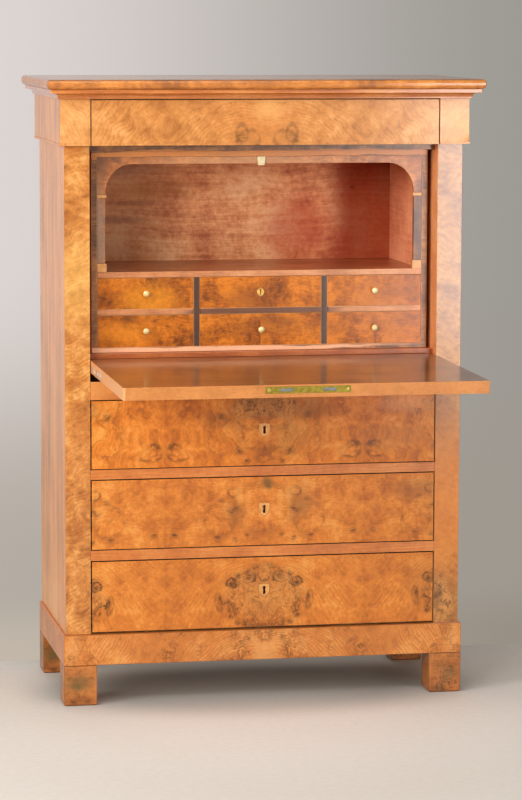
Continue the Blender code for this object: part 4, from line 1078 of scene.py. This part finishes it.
# Names the side of its piece that a face is on; a face further inside has "inner" before the name
def sideOf(normal, middle, low, high):
    axis = max(range(3), key=lambda at: abs(normal[at]))
    if normal[axis] < 0:
        name, distance = ("left", "front", "under")[axis], middle[axis] - low[axis]
    else:
        name, distance = ("right", "back", "top")[axis], high[axis] - middle[axis]
    return name if distance < easing["rim"] else "inner " + name


# Makes a knob slimmer about its own axis, which runs along Y
def slimKnob(shape, low, high):
    for point in shape.verts:
        for at in (0, 2):
            middle = (low[at] + high[at]) / 2
            point.co[at] = middle + (point.co[at] - middle) * easing["knobGirth"]


# Stands in for a CAD node with its arrises eased by wear and a finish on each of its sides
def easedCopy(node, edge, coats):
    source = frame["nodes"][node]
    low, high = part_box(node)
    mesh = bpy.data.meshes.new(node + "_eased")
    shape = bmesh.new()
    shape.from_mesh(source.data)
    bmesh.ops.remove_doubles(shape, verts=shape.verts, dist=easing["merge"])
    flat = math.radians(easing["flat"])
    bmesh.ops.dissolve_limit(shape, angle_limit=flat, verts=shape.verts, edges=shape.edges)
    arris = shape.faces.layers.float.new("arris")
    if node.endswith("_knob"):
        slimKnob(shape, low, high)
    if edge:
        limit = math.radians(easing["arris"])
        sharp = [
            side
            for side in shape.edges
            if len(side.link_faces) == 2 and side.is_convex and side.calc_face_angle() > limit
        ]
        made = bmesh.ops.bevel(
            shape, geom=sharp, offset=edge, segments=2, profile=0.5, affect="EDGES", clamp_overlap=True
        )
        for face in made["faces"]:
            face[arris] = 1.0
    names = list(dict.fromkeys(coats.values()))
    for face in shape.faces:
        side = sideOf(face.normal, face.calc_center_median(), low, high)
        inside = coats.get("inner", coats["rest"]) if side.startswith("inner") else coats["rest"]
        face.material_index = names.index(coats.get(side, inside))
        face.smooth = True
    shape.to_mesh(mesh)
    shape.free()
    mesh.set_sharp_from_angle(angle=math.radians(easing["sharp"]))
    for name in names:
        mesh.materials.append(finishes[name])
    piece = bpy.data.objects.new(node + "_eased", mesh)
    bpy.context.scene.collection.objects.link(piece)
    weighted = piece.modifiers.new("normals", "WEIGHTED_NORMAL")
    weighted.keep_sharp = True
    weighted.weight = 100
    view = bpy.context.evaluated_depsgraph_get()
    finished = bpy.data.meshes.new_from_object(piece.evaluated_get(view), depsgraph=view)
    piece.modifiers.clear()
    piece.data = finished
    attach(piece, source["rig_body"])
    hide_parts(node)


# How far each piece's arrises are worn round, in metres, and what it is finished with, side by side
pieces = {
    "top_board": (0.0012, {"top": "topFaceVeneer", "rest": "topVeneer"}),
    "cornice": (0.0006, {"rest": "corniceWalnut"}),
    "frieze_left": (0.0009, {"front": "friezeVeneer", "left": "sideWalnut", "rest": "edgeWalnut"}),
    "frieze_right": (0.0009, {"front": "friezeVeneer", "right": "sideWalnut", "rest": "edgeWalnut"}),
    "frieze_drawer": (0.0009, {"front": "friezeVeneer", "rest": "boxWood"}),
    "frieze_shelf": (0.0008, {"rest": "caseWalnut"}),
    "pilaster_left": (
        0.001,
        {"front": "leftPilasterVeneer", "left": "sideWalnut", "rest": "edgeWalnut"},
    ),
    "pilaster_right": (
        0.001,
        {"front": "rightPilasterVeneer", "right": "sideWalnut", "left": "litCheekWalnut", "rest": "edgeWalnut"},
    ),
    "side_panel_left": (0.001, {"left": "sideWalnut", "rest": "softwood"}),
    "side_panel_right": (0.001, {"right": "sideWalnut", "rest": "softwood"}),
    "writing_shelf": (0.0008, {"rest": "shelfWalnut"}),
    "plinth": (0.0012, {"front": "plinthVeneer", "rest": "edgeWalnut"}),
    "interior_case": (0.0008, {"front": "caseWalnut", "inner left": "litWallLining", "rest": "lining"}),
    "drawer_partition": (0.0006, {"front": "partitionWalnut", "rest": "softwood"}),
    "chamber_floor": (0.0006, {"front": "lipWalnut", "rest": "floorLining"}),
    "arch_panel": (0.0007, {"rest": "archVeneer"}),
    "keystone": (0.0006, {"rest": "bone"}),
    "flap_panel": (0.001, {"under": "flapVeneer", "top": "writingWalnut", "rest": "flapEdge"}),
    "flap_escutcheon": (0, {"rest": "maple"}),
    "flap_lock": (0.0003, {"rest": "brass"}),
    "flap_lock_bolts": (0.0003, {"rest": "boltSteel"}),
    "back_panel": (0.0008, {"rest": "softwood"}),
    "bottom_board": (0.0008, {"rest": "softwood"}),
}
# Rails: the sides other than the front are painted near black, as painted shade in the gaps
for name in ("flap_rail", "middle_board", "lower_board"):
    pieces[name] = (0.0005, {"front": "edgeWalnut", "rest": "gapShadeWalnut"})
for name in ("front_left", "front_right", "back_left", "back_right"):
    pieces["foot_" + name] = (0.0016, {"rest": "footVeneer"})
# Long drawers: the front's top and its other sides are painted dark, as painted shade in the gaps round each
# drawer
for name in ("upper", "middle", "lower"):
    coats = {"front": name + "Veneer", "back": "boxWood", "top": "gapShadeTopWalnut", "rest": "gapShadeWalnut"}
    pieces[name + "_drawer_front"] = (0.0009, coats)
    pieces[name + "_drawer_box"] = (0.0006, {"rest": "boxWood"})
    pieces[name + "_escutcheon"] = (0, {"rest": "shield"})
    pieces[name + "_drawer_bolt"] = (0.0004, {"rest": "steel"})
for row in ("upper", "lower"):
    for column in ("left", "middle", "right"):
        name = "small_drawer_" + row + "_" + column
        pieces[name] = (0.0007, {"front": "smallFronts", "rest": "boxWood"})
        if (row, column) == ("upper", "middle"):
            pieces[name + "_escutcheon"] = (0, {"rest": "keyBrass"})
        else:
            pieces[name + "_knob"] = (0, {"rest": "knobBone"})
for side in ("left", "right"):
    pieces["capital_" + side] = (0.0005, {"rest": "maple"})
    pieces["base_" + side] = (0.0005, {"rest": "maple"})
    pieces["flap_hinge_" + side] = (0.0003, {"rest": "strapSteel"})
for node, (edge, coats) in pieces.items():
    easedCopy(node, edge, coats)
print("stage 3: pieces eased,", len(pieces))


# Countersunk screws with a domed, slotted head, as a row of points in Geometry Nodes: the heads
# stand step by step from start on, face along aim, and each slot is turned by chance
def screwRow(name, row):
    tree = bpy.data.node_groups.new(name, "GeometryNodeTree")
    kinds = {"Start": "Vector", "Step": "Vector", "Aim": "Vector", "Count": "Int"}
    kinds |= {"Radius": "Float", "Dome": "Float", "Slot": "Float"}
    sockets = {}
    for label, kind in kinds.items():
        socket = tree.interface.new_socket(label, in_out="INPUT", socket_type="NodeSocket" + kind)
        sockets[label] = socket.identifier
    tree.interface.new_socket("Geometry", in_out="OUTPUT", socket_type="NodeSocketGeometry")
    asked = tree.nodes.new("NodeGroupInput").outputs
    size, dome, slotWide = asked["Radius"], asked["Dome"], asked["Slot"]
    # Head: a flattened ball, with the slot cut out of its top
    ball = addNode(tree, "GeometryNodeMeshUVSphere", {"Segments": 20, "Rings": 12, "Radius": 1.0})
    scale = addNode(tree, "ShaderNodeCombineXYZ", {0: size, 1: size, 2: dome})
    head = addNode(tree, "GeometryNodeTransform", {"Geometry": ball, "Scale": scale})
    long = addNode(tree, mathNode, {0: size, 1: 3.0}, operation="MULTIPLY")
    cutter = addNode(tree, "ShaderNodeCombineXYZ", {0: long, 1: slotWide, 2: dome})
    cutter = addNode(tree, "GeometryNodeMeshCube", {"Size": cutter})
    lift = addNode(tree, "ShaderNodeCombineXYZ", {2: dome})
    cutter = addNode(tree, "GeometryNodeTransform", {"Geometry": cutter, "Translation": lift})
    cut = {"Mesh 1": head, "Mesh 2": cutter}
    head = addNode(tree, "GeometryNodeMeshBoolean", cut, operation="DIFFERENCE", solver="EXACT")
    line = {"Count": asked["Count"], "Start Location": asked["Start"], "Offset": asked["Step"]}
    line = addNode(tree, "GeometryNodeMeshLine", line)
    spin = addNode(tree, "FunctionNodeRandomValue", {2: 0.0, 3: math.pi, "Seed": row["seed"]}, out=1)
    spin = addNode(tree, "ShaderNodeCombineXYZ", {2: spin})
    aimed = addNode(tree, "FunctionNodeAlignRotationToVector", {"Vector": asked["Aim"]}, axis="Z")
    turned = {"Rotation": aimed, "Rotate By": spin}
    turned = addNode(tree, "FunctionNodeRotateRotation", turned, rotation_space="LOCAL")
    copies = {"Points": line, "Instance": head, "Rotation": turned}
    copies = addNode(tree, "GeometryNodeInstanceOnPoints", copies)
    copies = addNode(tree, "GeometryNodeRealizeInstances", {"Geometry": copies})
    finished = {"Geometry": copies, "Material": finishes[row["finish"]]}
    finished = addNode(tree, "GeometryNodeSetMaterial", finished)
    addNode(tree, "NodeGroupOutput", {"Geometry": finished})
    holder = bpy.data.objects.new(name, bpy.data.meshes.new(name + "_seat"))
    bpy.context.scene.collection.objects.link(holder)
    nodes = holder.modifiers.new("screws", "NODES")
    nodes.node_group = tree
    for label, identifier in sockets.items():
        nodes[identifier] = row[label.lower()]
    view = bpy.context.evaluated_depsgraph_get()
    mesh = bpy.data.meshes.new_from_object(holder.evaluated_get(view), depsgraph=view)
    bpy.data.objects.remove(holder)
    return mesh


# Joins the rows of one body into one piece and gives back how many faces it has
def screws(name, body, rows):
    shape = bmesh.new()
    for at, row in enumerate(rows):
        shape.from_mesh(screwRow(name + "_row_" + str(at), row))
    mesh = bpy.data.meshes.new(name)
    shape.to_mesh(mesh)
    shape.free()
    mesh.materials.append(finishes[rows[0]["finish"]])
    for face in mesh.polygons:
        face.material_index = 0
        face.use_smooth = True
    mesh.set_sharp_from_angle(angle=math.radians(rows[0]["sharp"]))
    piece = bpy.data.objects.new(name, mesh)
    bpy.context.scene.collection.objects.link(piece)
    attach(piece, body)
    return len(mesh.polygons)


# Places in metres: three screws through each pivot strap, one at each end of the lock plate
strapScrews = {
    "start": (-0.4222, -0.136, 0.8153),
    "step": (0, 0.047, 0),
    "aim": (-1, 0, 0),
    "count": 3,
    "radius": 0.0042,
    "dome": 0.0011,
    "slot": 0.0009,
    "sharp": 38,  # shading breaks at edges over this angle, in degrees
    "seed": 4,
    "finish": "steelScrew",
}
otherStrap = strapScrews | {"start": (0.4222, -0.136, 0.8153), "aim": (1, 0, 0), "seed": 9}
plateScrews = strapScrews | {
    "start": (-0.0905, -0.4845, 0.8174),
    "step": (0.181, 0, 0),
    "aim": (0, -1, 0),
    "count": 2,
    "radius": 0.004,
    "dome": 0.0003,
    "seed": 7,
    "finish": "brassScrew",
}
flapBody = frame["nodes"]["flap_panel"]["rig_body"]
faces = screws("flap_strap_screws", flapBody, [strapScrews, otherStrap])
faces += screws("flap_lock_screws", flapBody, [plateScrews])
print("stage 4: screws set,", faces, "faces")

# Floor and backdrop in metres, tuned to the studio paper. The backdrop glows with painted light and shade:
# bright at the left, grey at the right
studio = {
    "halfWidth": 9,
    "near": -14,  # the floor's front edge
    "bend": 0.58,  # where the floor meets the backdrop
    "curve": 0.35,  # radius of that bend
    "height": 6.0,
    # painted light and shade of the backdrop, each band from left to right: darker low down at the bend, and
    # the grey right end of the foot a painted shadow
    "paper": {"top": ("DFD7D4", "9E9A94"), "low": ("B5ADA3", "9F988F"), "foot": ("C3B8AA", "978F84")},
    "paperSpan": (-0.75, 0.95),  # from the left colour to the right one
    "footTop": 0.13,
    "lowTop": 1.1,
    # the floor is painted a little darker towards the back, as painted shade
    "floorTones": ("E3DCD0", "DDD6CB"),
    "floorSpan": (-0.9, 0.6),  # from the near tone to the far one
    # Painted light and shade: a painted shadow under the secretary and a painted pool of light before it.
    # Each has its shift, scale, where it starts and ends to fade, strength and colour
    "patches": [
        ((0, -0.38, 0), (1.6, 2.6, 0), 0.5, 1.0, 0.75, "5C554C"),
        ((0, 0.5, 0), (1.1, 1.5, 0), 0.2, 1.1, 0.6, "F4F2EA"),
    ],
    "speckle": "8C857B",
}

# Painted board: matt and pale, with a faint speckle, painted a little darker towards the back, with a
# painted shadow under the secretary and a painted pool of light before it
material, tree = newMaterial("studio_floor_painted_light_and_shade")
place = addNode(tree, "ShaderNodeTexCoord", out="Object")
away = addNode(tree, "ShaderNodeSeparateXYZ", {0: place}, out="Y")
start, end = studio["floorSpan"]
away = addNode(tree, rangeNode, {0: away, 1: start, 2: end}, interpolation_type="SMOOTHSTEP")
speckle = addNode(tree, noiseNode, {"Vector": place, "Scale": 60, "Detail": 4})
speckle = addNode(tree, rangeNode, {0: speckle, 1: 0.3, 2: 0.7, 3: 0.02, 4: 0.1})
nearTone, farTone = [linear(code) for code in studio["floorTones"]]
colour = overlay(tree, away, nearTone, farTone)
for shift, squeeze, low, high, strength, code in studio["patches"]:
    patch = addNode(tree, mappingNode, {0: place, "Location": shift, "Scale": squeeze})
    patch = addNode(tree, vectorNode, {0: patch}, out="Value", operation="LENGTH")
    colour = overlay(tree, fading(tree, patch, low, high, strength), colour, linear(code))
colour = overlay(tree, speckle, colour, linear(studio["speckle"]))
shader = addNode(tree, "ShaderNodeBsdfPrincipled", {"Base Color": colour, "Roughness": 0.7})
addNode(tree, "ShaderNodeOutputMaterial", {"Surface": shader})
floor = bpy.data.objects.new("studio_floor", bpy.data.meshes.new("studio_floor"))
wide, near, bend = studio["halfWidth"], studio["near"], studio["bend"]
corners = [(-wide, near, 0), (wide, near, 0), (wide, bend, 0), (-wide, bend, 0)]
floor.data.from_pydata(corners, [], [(0, 1, 2, 3)])
floor.data.materials.append(material)
bpy.context.scene.collection.objects.link(floor)

# Backdrop that glows with painted light and shade, and is clear from behind for the views of the back
material, tree = newMaterial("studio_backdrop_painted_light")
place = addNode(tree, "ShaderNodeTexCoord", out="Object")
across = addNode(tree, "ShaderNodeSeparateXYZ", {0: place}, out="X")
up = across.node.outputs["Z"]
start, end = studio["paperSpan"]
across = addNode(tree, rangeNode, {0: across, 1: start, 2: end}, interpolation_type="SMOOTHSTEP")
bands = {
    key: overlay(tree, across, linear(left), linear(right)) for key, (left, right) in studio["paper"].items()
}
rising = {0: up, 1: 0.0, 2: studio["footTop"]}
rising = addNode(tree, rangeNode, rising, interpolation_type="SMOOTHSTEP")
colour = overlay(tree, rising, bands["foot"], bands["low"])
rising = {0: up, 1: studio["footTop"], 2: studio["lowTop"]}
rising = addNode(tree, rangeNode, rising, interpolation_type="SMOOTHERSTEP")
colour = overlay(tree, rising, colour, bands["top"])
shader = addNode(tree, "ShaderNodeEmission", {"Color": colour, "Strength": 1.0})
clear = addNode(tree, "ShaderNodeBsdfTransparent")
behind = addNode(tree, "ShaderNodeNewGeometry", out="Backfacing")
shader = addNode(tree, "ShaderNodeMixShader", {0: behind, 1: shader, 2: clear})
addNode(tree, "ShaderNodeOutputMaterial", {"Surface": shader})
backdrop = bpy.data.objects.new("studio_backdrop", bpy.data.meshes.new("studio_backdrop"))
curve = studio["curve"]
angles = [math.radians(degrees) for degrees in range(6, 91, 6)]
rise = [(0.0, 0.0)] + [(curve * math.sin(angle), curve - curve * math.cos(angle)) for angle in angles]
rise.append((curve, studio["height"]))
points = [(x, bend + y, z) for y, z in rise for x in (-wide, wide)]
faces = [(2 * at, 2 * at + 1, 2 * at + 3, 2 * at + 2) for at in range(len(rise) - 1)]
backdrop.data.from_pydata(points, [], faces)
backdrop.data.materials.append(material)
bpy.context.scene.collection.objects.link(backdrop)
backdrop.visible_diffuse = False
backdrop.visible_shadow = False

# The room's air: what reflections see is even, and what lights the piece is brighter from above
air = {"tone": "F4F1EE", "seen": 0.3, "low": 0.02, "high": 0.2, "highFrom": 0.7}
world = bpy.data.worlds.new("studio_air")
bpy.context.scene.world = world
world.use_nodes = True
world.node_tree.nodes.clear()
tree = world.node_tree
seen = addNode(tree, "ShaderNodeLightPath", out="Is Camera Ray")
rays = seen.node.outputs
for ray in ("Is Glossy Ray", "Is Transmission Ray"):
    seen = addNode(tree, mathNode, {0: seen, 1: rays[ray]}, operation="MAXIMUM")
aim = addNode(tree, "ShaderNodeTexCoord", out="Generated")
dome = addNode(tree, "ShaderNodeSeparateXYZ", {0: aim}, out="Z")
dome = {0: dome, 1: 0.0, 2: air["highFrom"], 3: air["low"], 4: air["high"]}
dome = addNode(tree, rangeNode, dome, interpolation_type="SMOOTHSTEP")
strength = addNode(tree, mixNode, {0: seen, 2: dome, 3: air["seen"]}, data_type="FLOAT")
sky = addNode(tree, "ShaderNodeBackground", {"Color": linear(air["tone"]), "Strength": strength})
addNode(tree, "ShaderNodeOutputWorld", {"Surface": sky})

# Soft boxes: position, the point they face, width, height and power. The last one is for the back
softBoxes = {
    "key": ((-3.2, -4.9, 2.45), (0, 0, 0.8), 1.9, 1.6, 110),
    "left": ((-4.2, -2.4, 2.5), (0, 0.1, 0.8), 2.0, 2.0, 142),
    "right": ((2.53, -6.13, 1.25), (0.4, 0, 0.9), 1.3, 2.3, 125),
    "top": ((-0.4, -2.6, 4.2), (0, -0.4, 0), 2.8, 2.2, 78),
    "back": ((0.5, 3.6, 4.6), (0, 0.4, 0.8), 2.4, 1.8, 22),
    "rear": ((-0.6, 4.4, 1.3), (0, 0.5, 0.8), 2.6, 1.8, 20),
}
for name, (spot, goal, wide, tall, power) in softBoxes.items():
    lamp = bpy.data.lights.new("soft_box_" + name, "AREA")
    lamp.shape = "RECTANGLE"
    lamp.size, lamp.size_y, lamp.energy = wide, tall, power
    holder = bpy.data.objects.new("soft_box_" + name, lamp)
    holder.location = spot
    holder.rotation_euler = (Vector(goal) - Vector(spot)).to_track_quat("-Z", "Y").to_euler()
    holder.visible_camera = False
    bpy.context.scene.collection.objects.link(holder)

# Camera at the photograph's place: metres, degrees, and millimetres for the lens and its film
shot = {
    "place": (-1.4918, -7.5450, 1.6757),
    "yaw": 11.0819,
    "pitch": -6.9741,
    "roll": 0.1775,
    "lens": 145.13,
    "film": 36,
}
lens = bpy.data.cameras.new("camera")
lens.lens, lens.sensor_width = shot["lens"], shot["film"]
camera = bpy.data.objects.new("camera", lens)
turn = Matrix.Rotation(-math.radians(shot["yaw"]), 4, "Z")
turn = turn @ Matrix.Rotation(math.radians(90 + shot["pitch"]), 4, "X")
turn = turn @ Matrix.Rotation(math.radians(shot["roll"]), 4, "Z")
camera.matrix_world = Matrix.Translation(shot["place"]) @ turn
bpy.context.scene.collection.objects.link(camera)
bpy.context.scene.camera = camera
bpy.context.scene.view_settings.view_transform = "Standard"
print("stage 5: floor, backdrop, lights and camera placed")
